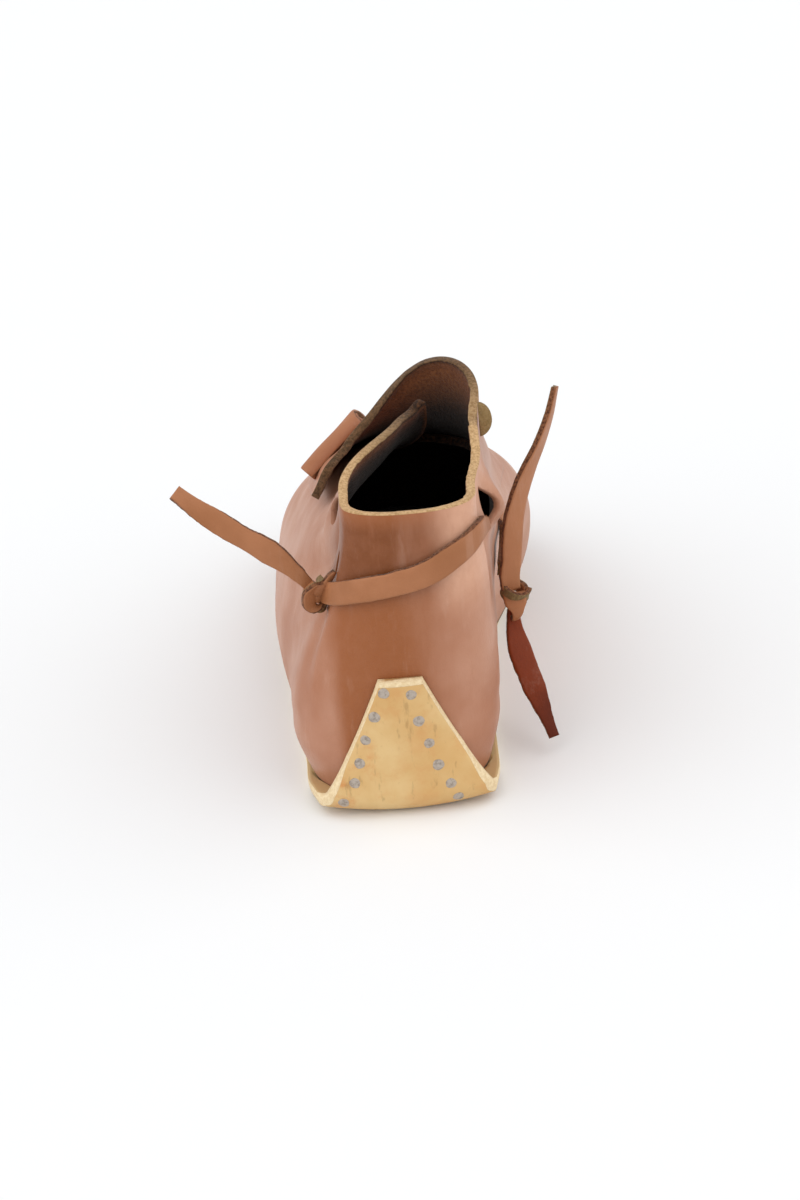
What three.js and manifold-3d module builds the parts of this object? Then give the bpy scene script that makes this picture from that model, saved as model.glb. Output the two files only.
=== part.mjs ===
// A left ankle shoe of vegetable-tanned leather, of an early northern European kind.
// The upper is one piece whose medial side wraps over the instep and is held by a rolled toggle.
// The sole is one thick piece whose heel end is folded up behind the heel and tacked there.
// Millimetres. +Y points to the toe, +X to the medial side and +Z up. The origin is under the heel.

import * as THREE from 'three';
import { mergeVertices } from 'three/addons/utils/BufferGeometryUtils.js';
import Module from 'manifold-3d';

const wasm = await Module();
wasm.setup();

// Driving sizes
const LENGTH = 285;
const BALL_WIDTH = 110;
const COLLAR_HEIGHT = 120;
const HEEL_CENTRE = 35;
const WALL = 2.4;
const SOLE_THICKNESS = 5;
const TOE_SPRING = 8;
const RISER_HEIGHT = 56.5;
const RISER_TOP_WIDTH = 16.5;
const RISER_BASE_WIDTH = 63;
const RISER_FLARE = 3;
const FOLD_RADIUS = 10;
const INSOLE_THICKNESS = 2;
const THONG_WIDTH = 9;
const THONG_THICKNESS = 2.2;
const TOGGLE_LENGTH = 33;
const TOGGLE_DIAMETER = 9;
const TACK_DIAMETER = 4.2;
const TACK_THICKNESS = 0.8;
const TACK_RECESS = 1.4;
const TACK_SIDES = 8;
const SLIT_LENGTH = 23;
const SLIT_WIDTH = 3.4;
const HOLE_HEIGHT = 12;
const TAB_HEIGHT = 13.5;
const TAB_REACH = 5;
const TUCK_OVER = 19;
const TUCK_BACK = 10;
const CLEARANCE = 0.3;

const COLLAR_STEPS = 15;
const ROUND_STEPS = 60;

// Stations along each level of the upper, as shares of the level's own length from back to front.
const HEEL_AT = 0.16;
const WAIST_AT = 0.42;
const BALL_AT = 0.7;
const BACK_POWER = 2.5;
const FRONT_POWER = 2.05;

// One row for each level of the upper. Heights are shares of COLLAR_HEIGHT, back and front are shares
// of LENGTH from the back of the heel, and all the others are shares of BALL_WIDTH. The letters m and l
// are the medial and the lateral half, measured from the level's own middle line.
const LEVELS = [
  { height: 0.00, back: 0.020, front: 0.980, mid: 0.00, tip: 0.07,
    heelM: 0.310, heelL: 0.345, waistM: 0.330, waistL: 0.420, ballM: 0.480, ballL: 0.460 },
  { height: 0.15, back: 0.019, front: 0.993, mid: 0.00, tip: 0.07,
    heelM: 0.350, heelL: 0.395, waistM: 0.370, waistL: 0.460, ballM: 0.550, ballL: 0.480 },
  { height: 0.30, back: 0.021, front: 0.955, mid: 0.01, tip: 0.07,
    heelM: 0.345, heelL: 0.385, waistM: 0.375, waistL: 0.455, ballM: 0.560, ballL: 0.465 },
  { height: 0.45, back: 0.023, front: 0.860, mid: 0.02, tip: 0.08,
    heelM: 0.330, heelL: 0.340, waistM: 0.380, waistL: 0.420, ballM: 0.520, ballL: 0.430 },
  { height: 0.61, back: 0.026, front: 0.725, mid: 0.03, tip: 0.09,
    heelM: 0.305, heelL: 0.280, waistM: 0.365, waistL: 0.355, ballM: 0.450, ballL: 0.365 },
  { height: 0.75, back: 0.030, front: 0.595, mid: 0.05, tip: 0.09,
    heelM: 0.275, heelL: 0.250, waistM: 0.335, waistL: 0.295, ballM: 0.360, ballL: 0.295 },
  { height: 0.88, back: 0.033, front: 0.465, mid: 0.07, tip: 0.10,
    heelM: 0.240, heelL: 0.230, waistM: 0.290, waistL: 0.245, ballM: 0.300, ballL: 0.225 },
  { height: 1.02, back: 0.037, front: 0.395, mid: 0.08, tip: 0.11,
    heelM: 0.230, heelL: 0.230, waistM: 0.260, waistL: 0.230, ballM: 0.260, ballL: 0.190 },
  { height: 1.28, back: 0.044, front: 0.360, mid: 0.09, tip: 0.13,
    heelM: 0.230, heelL: 0.220, waistM: 0.260, waistL: 0.210, ballM: 0.240, ballL: 0.170 },
];

// The collar's cut edge, as a share of COLLAR_HEIGHT, by the share of the way from back to front.
const RIM = [
  { at: 0.00, medial: 1.000, lateral: 1.000 },
  { at: 0.12, medial: 1.005, lateral: 1.005 },
  { at: 0.35, medial: 1.030, lateral: 1.040 },
  { at: 0.60, medial: 1.095, lateral: 1.075 },
  { at: 0.82, medial: 1.115, lateral: 1.090 },
  { at: 1.00, medial: 1.085, lateral: 1.085 },
];

// The flap over the instep. Turn is in degrees round the level from the back over the medial side, top
// and foot are heights as shares of COLLAR_HEIGHT.
const FLAP = [
  { turn: 98, top: 1.075, foot: 0.99 },
  { turn: 122, top: 1.160, foot: 0.97 },
  { turn: 146, top: 1.220, foot: 0.90 },
  { turn: 168, top: 1.210, foot: 0.84 },
  { turn: 187, top: 1.130, foot: 0.74 },
  { turn: 213, top: 0.990, foot: 0.62 },
  { turn: 238, top: 0.925, foot: 0.54 },
  { turn: 254, top: 0.880, foot: 0.50 },
  { turn: 266, top: 0.785, foot: 0.50 },
];
const FLAP_STEPS = 22;
const FLAP_ROWS = 7;
const FLAP_GAP = 0.9;
const FLAP_SLANT = 0.22;
const FLAP_ROOT = 0.25;

// The sole's half widths as shares of BALL_WIDTH at shares of LENGTH from the fold at the heel.
const SOLE_WIDTHS = [
  { at: 0.00, medial: 0.290, lateral: 0.292 },
  { at: 0.07, medial: 0.322, lateral: 0.348 },
  { at: 0.16, medial: 0.330, lateral: 0.362 },
  { at: 0.42, medial: 0.338, lateral: 0.420 },
  { at: 0.70, medial: 0.480, lateral: 0.480 },
];

// Values between the rows of a table, on a smooth curve through them.
function along(rows, key, name, at) {
  const last = rows.length - 1;
  const slope = (i) => {
    const low = rows[Math.max(0, i - 1)];
    const high = rows[Math.min(last, i + 1)];
    return (high[name] - low[name]) / (high[key] - low[key]);
  };
  let i = 0;
  while (i < last - 1 && at > rows[i + 1][key]) {
    i += 1;
  }
  const span = rows[i + 1][key] - rows[i][key];
  const t = Math.min(Math.max((at - rows[i][key]) / span, 0), 1);
  const t2 = t * t;
  const t3 = t2 * t;
  return (2 * t3 - 3 * t2 + 1) * rows[i][name] + (t3 - 2 * t2 + t) * span * slope(i)
    + (3 * t2 - 2 * t3) * rows[i + 1][name] + (t3 - t2) * span * slope(i + 1);
}

// A smooth step from 0 to 1.
function ease(t) {
  const c = Math.min(Math.max(t, 0), 1);
  return c * c * (3 - 2 * c);
}

// How far the toe end of the sole is lifted at a distance from the back of the heel.
function spring(forward) {
  const start = 0.76 * LENGTH;
  const t = Math.max((forward - start) / (LENGTH - start), 0);
  return TOE_SPRING * t * t;
}

// Half a level's width at a share of its length: round ends, and a smooth run past the waist.
function halfWidth(share, heel, waist, ball) {
  if (share < HEEL_AT) {
    const out = 1 - share / HEEL_AT;
    return heel * Math.pow(Math.max(1 - Math.pow(out, BACK_POWER), 0), 1 / BACK_POWER);
  }
  if (share > BALL_AT) {
    const out = Math.min((share - BALL_AT) / (1 - BALL_AT), 1);
    return ball * Math.pow(Math.max(1 - Math.pow(out, FRONT_POWER), 0), 1 / FRONT_POWER);
  }
  const middle = (ball - heel) / (BALL_AT - HEEL_AT);
  const first = share < WAIST_AT;
  const from = first ? HEEL_AT : WAIST_AT;
  const span = first ? WAIST_AT - HEEL_AT : BALL_AT - WAIST_AT;
  const t = (share - from) / span;
  const low = first ? heel : waist;
  const high = first ? waist : ball;
  const t2 = t * t;
  const t3 = t2 * t;
  const pull = first ? (t3 - t2) * span * middle : (t3 - 2 * t2 + t) * span * middle;
  return (2 * t3 - 3 * t2 + 1) * low + (3 * t2 - 2 * t3) * high + pull;
}

const FEATHER = SOLE_THICKNESS + CLEARANCE;

// How the lateral edge is drawn in under the flap: over to the medial side, and back at the front.
function tucked(turn, height) {
  const over = ease((turn - 160) / 50) * (1 - ease((turn - 225) / 78));
  const back = ease((turn - 115) / 60) * (1 - ease((turn - 190) / 60));
  const up = ease((height - 0.64) / 0.4);
  return new THREE.Vector3(TUCK_OVER * over * up, -TUCK_BACK * back * up, 0);
}

// A point of the upper's outer face. Turn runs in degrees from the back over the medial side, and
// height is a share of COLLAR_HEIGHT above the sole.
function upperPoint(turn, height) {
  const angle = THREE.MathUtils.degToRad(turn);
  const value = (name) => along(LEVELS, 'height', name, height);
  const share = (1 - Math.cos(angle)) / 2;
  const medial = Math.sin(angle) >= 0;
  const side = medial ? 'M' : 'L';
  const half = halfWidth(share, value('heel' + side), value('waist' + side), value('ball' + side));
  const middle = value('mid') + (value('tip') - value('mid')) * share * share;
  const back = value('back') * LENGTH;
  const forward = back + (value('front') * LENGTH - back) * share;
  const lift = spring(forward) * (1 - ease(height / 0.5));
  return new THREE.Vector3(
    BALL_WIDTH * (middle + (medial ? half : -half)),
    forward - HEEL_CENTRE,
    FEATHER + height * (COLLAR_HEIGHT - FEATHER) + lift,
  );
}

// The outward direction of the upper at a point.
function upperNormal(turn, height) {
  const h = Math.min(Math.max(height, 0.005), 1.27);
  const around = upperPoint(turn + 1.5, h).sub(upperPoint(turn - 1.5, h));
  const up = upperPoint(turn, h + 0.01).sub(upperPoint(turn, h - 0.01));
  return around.cross(up).normalize();
}

// A point at a distance out of the upper's outer face, or into it where the distance is negative.
function nearUpper(turn, height, out) {
  const point = upperPoint(turn, height).addScaledVector(upperNormal(turn, height), out);
  if (height <= 0) {
    point.z = upperPoint(turn, height).z;
  }
  return point;
}

// A closed mesh from a list of faces, each a list of points in order seen from outside.
function fromFaces(faces) {
  const positions = [];
  for (const face of faces) {
    for (let i = 1; i < face.length - 1; i += 1) {
      for (const p of [face[0], face[i], face[i + 1]]) {
        positions.push(p.x, p.y, p.z);
      }
    }
  }
  const geometry = new THREE.BufferGeometry();
  geometry.setAttribute('position', new THREE.Float32BufferAttribute(positions, 3));
  return geometry;
}

// The faces between neighbouring rows of points.
function gridFaces(rows, closed) {
  const faces = [];
  const count = rows[0].length;
  const steps = closed ? count : count - 1;
  for (let k = 0; k < rows.length - 1; k += 1) {
    for (let j = 0; j < steps; j += 1) {
      const n = (j + 1) % count;
      faces.push([rows[k][j], rows[k][n], rows[k + 1][n], rows[k + 1][j]]);
    }
  }
  return faces;
}

function flipped(faces) {
  return faces.map((face) => [...face].reverse());
}

// A wall between an outer and an inner grid of points, closed round its free edges.
function wallBetween(outer, inner, closed) {
  const last = outer.length - 1;
  const faces = [...gridFaces(outer, closed), ...flipped(gridFaces(inner, closed))];
  faces.push(...gridFaces([inner[0], outer[0]], closed));
  faces.push(...gridFaces([outer[last], inner[last]], closed));
  if (!closed) {
    const end = outer[0].length - 1;
    const edge = (rows, j) => rows.map((row) => row[j]);
    faces.push(...gridFaces([edge(outer, 0), edge(inner, 0)], false));
    faces.push(...gridFaces([edge(inner, end), edge(outer, end)], false));
  }
  return fromFaces(faces);
}

// A body from rings of points, closed at both ends.
function throughRings(rings) {
  const faces = gridFaces(rings, true);
  const middle = (ring) => {
    const sum = new THREE.Vector3();
    ring.forEach((p) => sum.add(p));
    return sum.divideScalar(ring.length);
  };
  const first = middle(rings[0]);
  const last = middle(rings[rings.length - 1]);
  const count = rings[0].length;
  for (let j = 0; j < count; j += 1) {
    const n = (j + 1) % count;
    faces.push([first, rings[0][n], rings[0][j]]);
    faces.push([last, rings[rings.length - 1][j], rings[rings.length - 1][n]]);
  }
  return fromFaces(faces);
}

function solidOf(geometry) {
  const bare = geometry.index ? geometry.toNonIndexed() : geometry.clone();
  bare.deleteAttribute('normal');
  bare.deleteAttribute('uv');
  const merged = mergeVertices(bare, 0.0005);
  return new wasm.Manifold(new wasm.Mesh({
    numProp: 3,
    vertProperties: new Float32Array(merged.attributes.position.array),
    triVerts: new Uint32Array(merged.index.array),
  }));
}

function geometryOf(solid) {
  const mesh = solid.getMesh();
  const geometry = new THREE.BufferGeometry();
  geometry.setAttribute('position', new THREE.BufferAttribute(new Float32Array(mesh.vertProperties), 3));
  geometry.setIndex(new THREE.BufferAttribute(new Uint32Array(mesh.triVerts), 1));
  return geometry;
}

const shoe = new THREE.Group();

function addPiece(name, geometry, colour, roughness, metalness = 0) {
  const faced = geometry.index ? geometry.toNonIndexed() : geometry;
  faced.computeVertexNormals();
  const material = new THREE.MeshStandardMaterial({ color: colour, roughness, metalness });
  const mesh = new THREE.Mesh(faced, material);
  mesh.name = name;
  shoe.add(mesh);
}

const SMOOTH_LEATHER = 0xb77f61;
const SOLE_LEATHER = 0xd6b27a;
const THONG_LEATHER = 0xb0714c;
const FLESH_SIDE = 0x8f7548;
const INSOLE_GREY = 0x8c8a80;
const TACK_STEEL = 0xa79a94;

// Upper
function collarHeight(turn) {
  const share = (1 - Math.cos(THREE.MathUtils.degToRad(turn))) / 2;
  const side = Math.sin(THREE.MathUtils.degToRad(turn)) >= 0 ? 'medial' : 'lateral';
  return along(RIM, 'at', side, share);
}

function upperGrid(out) {
  const rows = [];
  for (let k = 0; k <= COLLAR_STEPS; k += 1) {
    const row = [];
    for (let j = 0; j < ROUND_STEPS; j += 1) {
      const turn = (360 * j) / ROUND_STEPS;
      const height = collarHeight(turn) * (k / COLLAR_STEPS);
      row.push(nearUpper(turn, height, out).add(tucked(turn, height)));
    }
    rows.push(row);
  }
  return rows;
}

function flapGrid(out) {
  const rows = [];
  const first = FLAP[0].turn;
  const last = FLAP[FLAP.length - 1].turn;
  for (let k = 0; k <= FLAP_ROWS; k += 1) {
    const row = [];
    for (let j = 0; j <= FLAP_STEPS; j += 1) {
      const reach = first + ((last - first) * j) / FLAP_STEPS;
      const foot = along(FLAP, 'turn', 'foot', reach);
      const top = along(FLAP, 'turn', 'top', reach);
      const up = k / FLAP_ROWS;
      const turn = first + (reach - first) * (1 - FLAP_SLANT * (1 - up));
      const free = ease((turn - first) / 40) * ease(up / 0.5);
      const lift = THREE.MathUtils.lerp(FLAP_ROOT, WALL + FLAP_GAP, free);
      row.push(nearUpper(turn, foot + (top - foot) * up, lift + out));
    }
    rows.push(row);
  }
  return rows;
}

// A thin wedge that cuts through the wall round a point, long in height and narrow round the foot.
function wallCut(turn, height, long, wide) {
  const at = upperPoint(turn, height);
  const out = upperNormal(turn, height);
  const up = upperPoint(turn, height + 0.03).sub(upperPoint(turn, height - 0.03)).normalize();
  const across = new THREE.Vector3().crossVectors(up, out).normalize();
  const box = new THREE.BoxGeometry(wide, long, 14);
  const turned = new THREE.Matrix4().makeBasis(across, up, out).setPosition(at);
  box.applyMatrix4(turned);
  return solidOf(box);
}

const MEDIAL_SLIT = { turn: 60, height: 0.85 };
const LATERAL_SLIT = { turn: 313, height: 0.95 };
const LATERAL_HOLE = { turn: 322, height: 0.80 };

const upperShell = solidOf(wallBetween(upperGrid(0), upperGrid(-WALL), true));
const flapSheet = solidOf(wallBetween(flapGrid(0), flapGrid(-WALL), false));
const upperSolid = upperShell.add(flapSheet)
  .subtract(wallCut(MEDIAL_SLIT.turn, MEDIAL_SLIT.height, SLIT_LENGTH, SLIT_WIDTH))
  .subtract(wallCut(LATERAL_SLIT.turn, LATERAL_SLIT.height, 0.5 * SLIT_LENGTH, 0.7 * SLIT_WIDTH))
  .subtract(wallCut(LATERAL_HOLE.turn, LATERAL_HOLE.height, HOLE_HEIGHT, SLIT_WIDTH));
addPiece('upper', geometryOf(upperSolid), SMOOTH_LEATHER, 0.5);

// Sole with its folded heel riser
const FOLD_ARC = (Math.PI / 2) * FOLD_RADIUS;
const TOE_END = LENGTH - 0.5;

const SOLE_BEND = LEVELS[0].tip;

function soleHalf(side, share) {
  if (share > BALL_AT) {
    const widest = along(SOLE_WIDTHS, 'at', side, BALL_AT);
    const out = Math.min((share - BALL_AT) / (1 - BALL_AT), 1);
    return widest * Math.pow(Math.max(1 - Math.pow(out, FRONT_POWER), 0), 1 / FRONT_POWER);
  }
  return along(SOLE_WIDTHS, 'at', side, share);
}

// The sole's lower face on its middle line, with the direction into the leather, at each place from
// the toe to the top of the riser, and the half widths and middle there.
function soleStation(kind, t) {
  if (kind === 'plate') {
    const forward = FOLD_RADIUS + (TOE_END - FOLD_RADIUS) * Math.cos((Math.PI / 2) * t);
    const share = forward / LENGTH;
    const middle = BALL_WIDTH * SOLE_BEND * share * share;
    return {
      y: forward,
      z: spring(forward),
      inY: 0,
      inZ: 1,
      middle,
      medial: BALL_WIDTH * soleHalf('medial', share),
      lateral: BALL_WIDTH * soleHalf('lateral', share),
      curl: 1 - ease((forward - FOLD_RADIUS) / (2.5 * FOLD_RADIUS)),
    };
  }
  if (kind === 'fold') {
    const angle = (Math.PI / 2) * t;
    const half = (side) => {
      const base = BALL_WIDTH * soleHalf(side, FOLD_RADIUS / LENGTH);
      return THREE.MathUtils.lerp(base, RISER_BASE_WIDTH / 2, t);
    };
    return {
      y: FOLD_RADIUS * (1 - Math.sin(angle)),
      z: FOLD_RADIUS * (1 - Math.cos(angle)),
      inY: Math.sin(angle),
      inZ: Math.cos(angle),
      middle: 0,
      medial: half('medial'),
      lateral: half('lateral'),
      curl: 1,
    };
  }
  const up = FOLD_RADIUS + (RISER_HEIGHT - FOLD_RADIUS) * t;
  const flare = RISER_FLARE * Math.pow(1 - t, 4);
  const straight = RISER_BASE_WIDTH / 2 - RISER_FLARE;
  const half = straight + (RISER_TOP_WIDTH / 2 - straight) * t + flare;
  return { y: 1.5 * t, z: up, inY: 1, inZ: 0, middle: 0, medial: half, lateral: half, curl: 1 };
}

// How far the riser and the corners of the heel curl round the upper at a distance from the middle.
function curlDepth(x, z) {
  const radius = 150 - 102 * ease((z - FOLD_RADIUS) / 22);
  return (x * x) / (2 * radius);
}

const soleStations = [];
for (let i = 1; i <= 26; i += 1) {
  soleStations.push(soleStation('plate', i === 1 ? 0.035 : i / 26));
}
for (let i = 1; i <= 5; i += 1) {
  soleStations.push(soleStation('fold', i / 5));
}
for (let i = 1; i <= 9; i += 1) {
  soleStations.push(soleStation('riser', i / 9));
}
const ACROSS_STEPS = 12;

function solePoint(station, across, depth) {
  const x = across >= 0 ? across * station.medial : across * station.lateral;
  const inwards = depth + station.curl * curlDepth(x, station.z);
  return new THREE.Vector3(
    station.middle + x,
    station.y + inwards * station.inY - HEEL_CENTRE,
    station.z + inwards * station.inZ,
  );
}

function soleGrid(depth) {
  return soleStations.map((station) => {
    const row = [];
    for (let j = 0; j <= ACROSS_STEPS; j += 1) {
      row.push(solePoint(station, (2 * j) / ACROSS_STEPS - 1, depth));
    }
    return row;
  });
}

// The room that the upper takes, with the clearance round it, up to above the riser.
const ROOM = CLEARANCE + 0.1;
const ROOM_BELOW = CLEARANCE - 0.03;
function upperRoom() {
  const rings = [];
  const levels = [0, 0.04, 0.1, 0.16, 0.22, 0.3, 0.38, 0.46, 0.54];
  for (const height of levels) {
    const ring = [];
    for (let j = 0; j < ROUND_STEPS; j += 1) {
      const turn = (360 * j) / ROUND_STEPS;
      const point = nearUpper(turn, height, ROOM);
      if (height === 0) {
        point.z -= ROOM_BELOW;
      }
      ring.push(point);
    }
    rings.push(ring);
  }
  return solidOf(throughRings(rings));
}

const soleSheet = solidOf(wallBetween(soleGrid(0), soleGrid(SOLE_THICKNESS), false));
const tackRound = new THREE.CylinderGeometry(TACK_DIAMETER / 2, TACK_DIAMETER / 2, 1, TACK_SIDES);

// A short round body on the sole's outer face, from one depth to another.
function tackBody(place, from, to, grow) {
  const body = tackRound.clone();
  body.scale(1 + grow / (TACK_DIAMETER / 2), to - from, 1 + grow / (TACK_DIAMETER / 2));
  body.translate(0, (from + to) / 2, 0);
  const turned = new THREE.Quaternion().setFromUnitVectors(new THREE.Vector3(0, 1, 0), place.inwards);
  body.applyQuaternion(turned);
  body.translate(place.at.x, place.at.y, place.at.z);
  return body;
}

// Tack places: six up each side of the riser, and a row round the edge of the plate.
const tackPlaces = [];
function tackAt(station, across) {
  const step = 0.02;
  const at = solePoint(station, across, 0);
  const side = solePoint(station, across + step, 0).sub(solePoint(station, across - step, 0));
  const next = { ...station };
  next.y -= station.inZ;
  next.z += station.inY;
  const run = solePoint(next, across, 0).sub(at);
  const inwards = side.cross(run).normalize();
  if (inwards.y * station.inY + inwards.z * station.inZ < 0) {
    inwards.negate();
  }
  return { at, inwards };
}
const RISER_TACKS = [
  { kind: 'riser', lateralAt: 0.92, lateral: 3.3, medialAt: 0.89, medial: 6.9 },
  { kind: 'riser', lateralAt: 0.71, lateral: 3.3, medialAt: 0.65, medial: 9.8 },
  { kind: 'riser', lateralAt: 0.50, lateral: 3.6, medialAt: 0.44, medial: 11.1 },
  { kind: 'riser', lateralAt: 0.30, lateral: 5.2, medialAt: 0.24, medial: 13.1 },
  { kind: 'riser', lateralAt: 0.13, lateral: 7.1, medialAt: 0.06, medial: 13.9 },
  { kind: 'fold', lateralAt: 0.80, lateral: 6.9, medialAt: 0.72, medial: 14.0 },
];
for (const row of RISER_TACKS) {
  const lateral = soleStation(row.kind, row.lateralAt);
  const medial = soleStation(row.kind, row.medialAt);
  tackPlaces.push(tackAt(lateral, row.lateral / lateral.lateral - 1));
  tackPlaces.push(tackAt(medial, 1 - row.medial / medial.medial));
}
const PLATE_TACKS = 11;
const TACK_INSET = 7;
for (let i = 0; i < PLATE_TACKS; i += 1) {
  const station = soleStation('plate', 0.24 + (0.7 * i) / (PLATE_TACKS - 1));
  for (const side of [-1, 1]) {
    const half = side > 0 ? station.medial : station.lateral;
    tackPlaces.push(tackAt(station, side * (1 - TACK_INSET / half)));
  }
}

let soleSolid = soleSheet.subtract(upperRoom());
for (const place of tackPlaces) {
  soleSolid = soleSolid.subtract(solidOf(tackBody(place, -3, TACK_RECESS, CLEARANCE)));
}
addPiece('sole', geometryOf(soleSolid), SOLE_LEATHER, 0.7);
tackPlaces.forEach((place, i) => {
  const top = TACK_RECESS - CLEARANCE;
  const name = 'tack_' + String(i + 1).padStart(2, '0');
  addPiece(name, tackBody(place, top - TACK_THICKNESS, top, 0), TACK_STEEL, 0.5, 0.6);
});

// Insole
const INSOLE_GAP = 0.9;
const insoleMiddle = new THREE.Vector2(0.03 * BALL_WIDTH, 0.5 * LENGTH - HEEL_CENTRE);

// One outline of the insole, drawn in towards its middle by a share.
function insoleRing(share, height) {
  const ring = [];
  for (let j = 0; j < ROUND_STEPS; j += 1) {
    const edge = nearUpper((360 * j) / ROUND_STEPS, 0, -WALL - INSOLE_GAP);
    const x = THREE.MathUtils.lerp(insoleMiddle.x, edge.x, share);
    const y = THREE.MathUtils.lerp(insoleMiddle.y, edge.y, share);
    ring.push(new THREE.Vector3(x, y, FEATHER + height + spring(y + HEEL_CENTRE)));
  }
  return ring;
}
function insoleBody() {
  const face = (height) => [1, 0.6, 0.2].map((share) => insoleRing(share, height));
  const low = face(0);
  const high = face(INSOLE_THICKNESS);
  return throughRings([...low.reverse(), ...high]);
}
addPiece('insole', insoleBody(), INSOLE_GREY, 0.9);

// A flat thong: each row is a middle point and the direction across its width.
function thong(rows) {
  const rings = rows.map((row, i) => {
    const before = rows[Math.max(0, i - 1)].at;
    const after = rows[Math.min(rows.length - 1, i + 1)].at;
    const run = after.clone().sub(before).normalize();
    const across = row.across.clone().addScaledVector(run, -row.across.dot(run)).normalize();
    const up = new THREE.Vector3().crossVectors(run, across);
    const half = THONG_WIDTH / 2;
    const thick = THONG_THICKNESS / 2;
    const edge = thick / 2;
    const section = [
      [half, -edge], [half, edge], [half - edge, thick], [-half + edge, thick],
      [-half, edge], [-half, -edge], [-half + edge, -thick], [half - edge, -thick],
    ];
    return section.map(([a, b]) => row.at.clone().addScaledVector(across, a).addScaledVector(up, b));
  });
  return throughRings(rings);
}
const vector = (x, y, z) => new THREE.Vector3(x, y, z);

// The thong behind the heel: turn and height on the upper, from the lateral hole to the medial slit
const BACK_THONG = [
  { turn: -38, height: 0.690 },
  { turn: -29, height: 0.715 },
  { turn: -20, height: 0.742 },
  { turn: -11, height: 0.762 },
  { turn: -2, height: 0.780 },
  { turn: 6, height: 0.808 },
  { turn: 14, height: 0.842 },
  { turn: 23, height: 0.868 },
  { turn: 33, height: 0.880 },
  { turn: 44, height: 0.882 },
  { turn: 54, height: 0.880 },
];
const THONG_STEPS = 18;
// Half a thong's thickness, the clearance, and what its flat section sinks on the round heel.
const THONG_STAND = CLEARANCE + THONG_THICKNESS / 2 + 0.5;
const thongRows = [];
for (let i = 0; i <= THONG_STEPS; i += 1) {
  const last = BACK_THONG.length - 1;
  const turn = THREE.MathUtils.lerp(BACK_THONG[0].turn, BACK_THONG[last].turn, i / THONG_STEPS);
  const height = along(BACK_THONG, 'turn', 'height', turn);
  const up = upperPoint(turn, height + 0.03).sub(upperPoint(turn, height - 0.03)).normalize();
  thongRows.push({ at: nearUpper(turn, height, THONG_STAND), across: up });
}
addPiece('thong_back', thong(thongRows), THONG_LEATHER, 0.6);

// The thong from the foot of the medial slit down to the right knot
const SIDE_THONG = [
  { turn: 64, height: 0.735 },
  { turn: 68, height: 0.680 },
  { turn: 71, height: 0.620 },
  { turn: 73, height: 0.560 },
];
const sideRows = SIDE_THONG.map((row, i) => {
  const next = SIDE_THONG[Math.min(i + 1, SIDE_THONG.length - 1)];
  const last = SIDE_THONG[Math.max(i - 1, 0)];
  const run = upperPoint(next.turn, next.height).sub(upperPoint(last.turn, last.height));
  const across = upperNormal(row.turn, row.height).cross(run);
  return { at: nearUpper(row.turn, row.height, THONG_STAND), across };
});
addPiece('thong_side', thong(sideRows), THONG_LEATHER, 0.6);

// Knots and free ends of the thong, from points chosen by hand
const LEFT_KNOT = vector(-30.5, -5, 84);
const RIGHT_KNOT = vector(48.8, 34.5, 56.5);
const KNOT_SIZE = vector(5.5, 5.5, 7.5);
function knot(centre) {
  const body = new THREE.SphereGeometry(1, 12, 8);
  body.scale(KNOT_SIZE.x, KNOT_SIZE.y, KNOT_SIZE.z);
  body.translate(centre.x, centre.y, centre.z);
  return body;
}
addPiece('knot_left', knot(LEFT_KNOT), THONG_LEATHER, 0.6);
addPiece('knot_right', knot(RIGHT_KNOT), THONG_LEATHER, 0.6);

const END_LEFT = [
  { at: vector(-33.6, -4.5, 90.3), across: vector(0.45, 0, 0.9) },
  { at: vector(-40.2, -3.0, 96.9), across: vector(0.5, 0, 0.85) },
  { at: vector(-48.0, -1.5, 103.0), across: vector(0.5, 0, 0.85) },
  { at: vector(-55.5, 0.5, 107.6), across: vector(0.45, 0.1, 0.85) },
  { at: vector(-63.0, 3.0, 112.6), across: vector(0.4, 0.25, 0.8) },
  { at: vector(-70.0, 5.0, 117.6), across: vector(0.4, 0.45, 0.7) },
  { at: vector(-77.5, 7.0, 124.2), across: vector(0.35, 0.6, 0.5) },
];
const END_RIGHT_UP = [
  { at: vector(47.2, 34.0, 65.2), across: vector(1, 0.1, 0) },
  { at: vector(48.2, 34.5, 72.0), across: vector(1, 0.1, 0) },
  { at: vector(49.0, 35.0, 80.0), across: vector(1, 0.1, 0) },
  { at: vector(50.3, 36.0, 88.5), across: vector(1, 0.2, -0.1) },
  { at: vector(53.2, 37.5, 98.0), across: vector(0.9, 0.3, -0.3) },
  { at: vector(57.5, 40.0, 107.2), across: vector(0.75, 0.6, -0.3) },
  { at: vector(62.5, 42.0, 116.5), across: vector(0.6, 0.8, -0.3) },
  { at: vector(67.0, 44.0, 127.0), across: vector(0.5, 0.85, -0.2) },
  { at: vector(70.3, 46.0, 138.0), across: vector(0.4, 0.9, -0.1) },
];
const END_RIGHT_DOWN = [
  { at: vector(47.6, 32.9, 49.0), across: vector(1, 0.2, 0) },
  { at: vector(47.7, 30.0, 42.5), across: vector(1, 0.3, 0) },
  { at: vector(49.2, 24.5, 35.0), across: vector(0.95, 0.4, 0.2) },
  { at: vector(51.7, 18.5, 27.5), across: vector(0.9, 0.4, 0.3) },
  { at: vector(54.6, 12.5, 19.5), across: vector(0.85, 0.4, 0.4) },
  { at: vector(58.8, 4.5, 7.5), across: vector(0.8, 0.4, 0.4) },
];
addPiece('end_left', thong(END_LEFT), THONG_LEATHER, 0.6);
addPiece('end_right_up', thong(END_RIGHT_UP), THONG_LEATHER, 0.6);
addPiece('end_right_down', thong(END_RIGHT_DOWN), THONG_LEATHER, 0.6);

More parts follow.
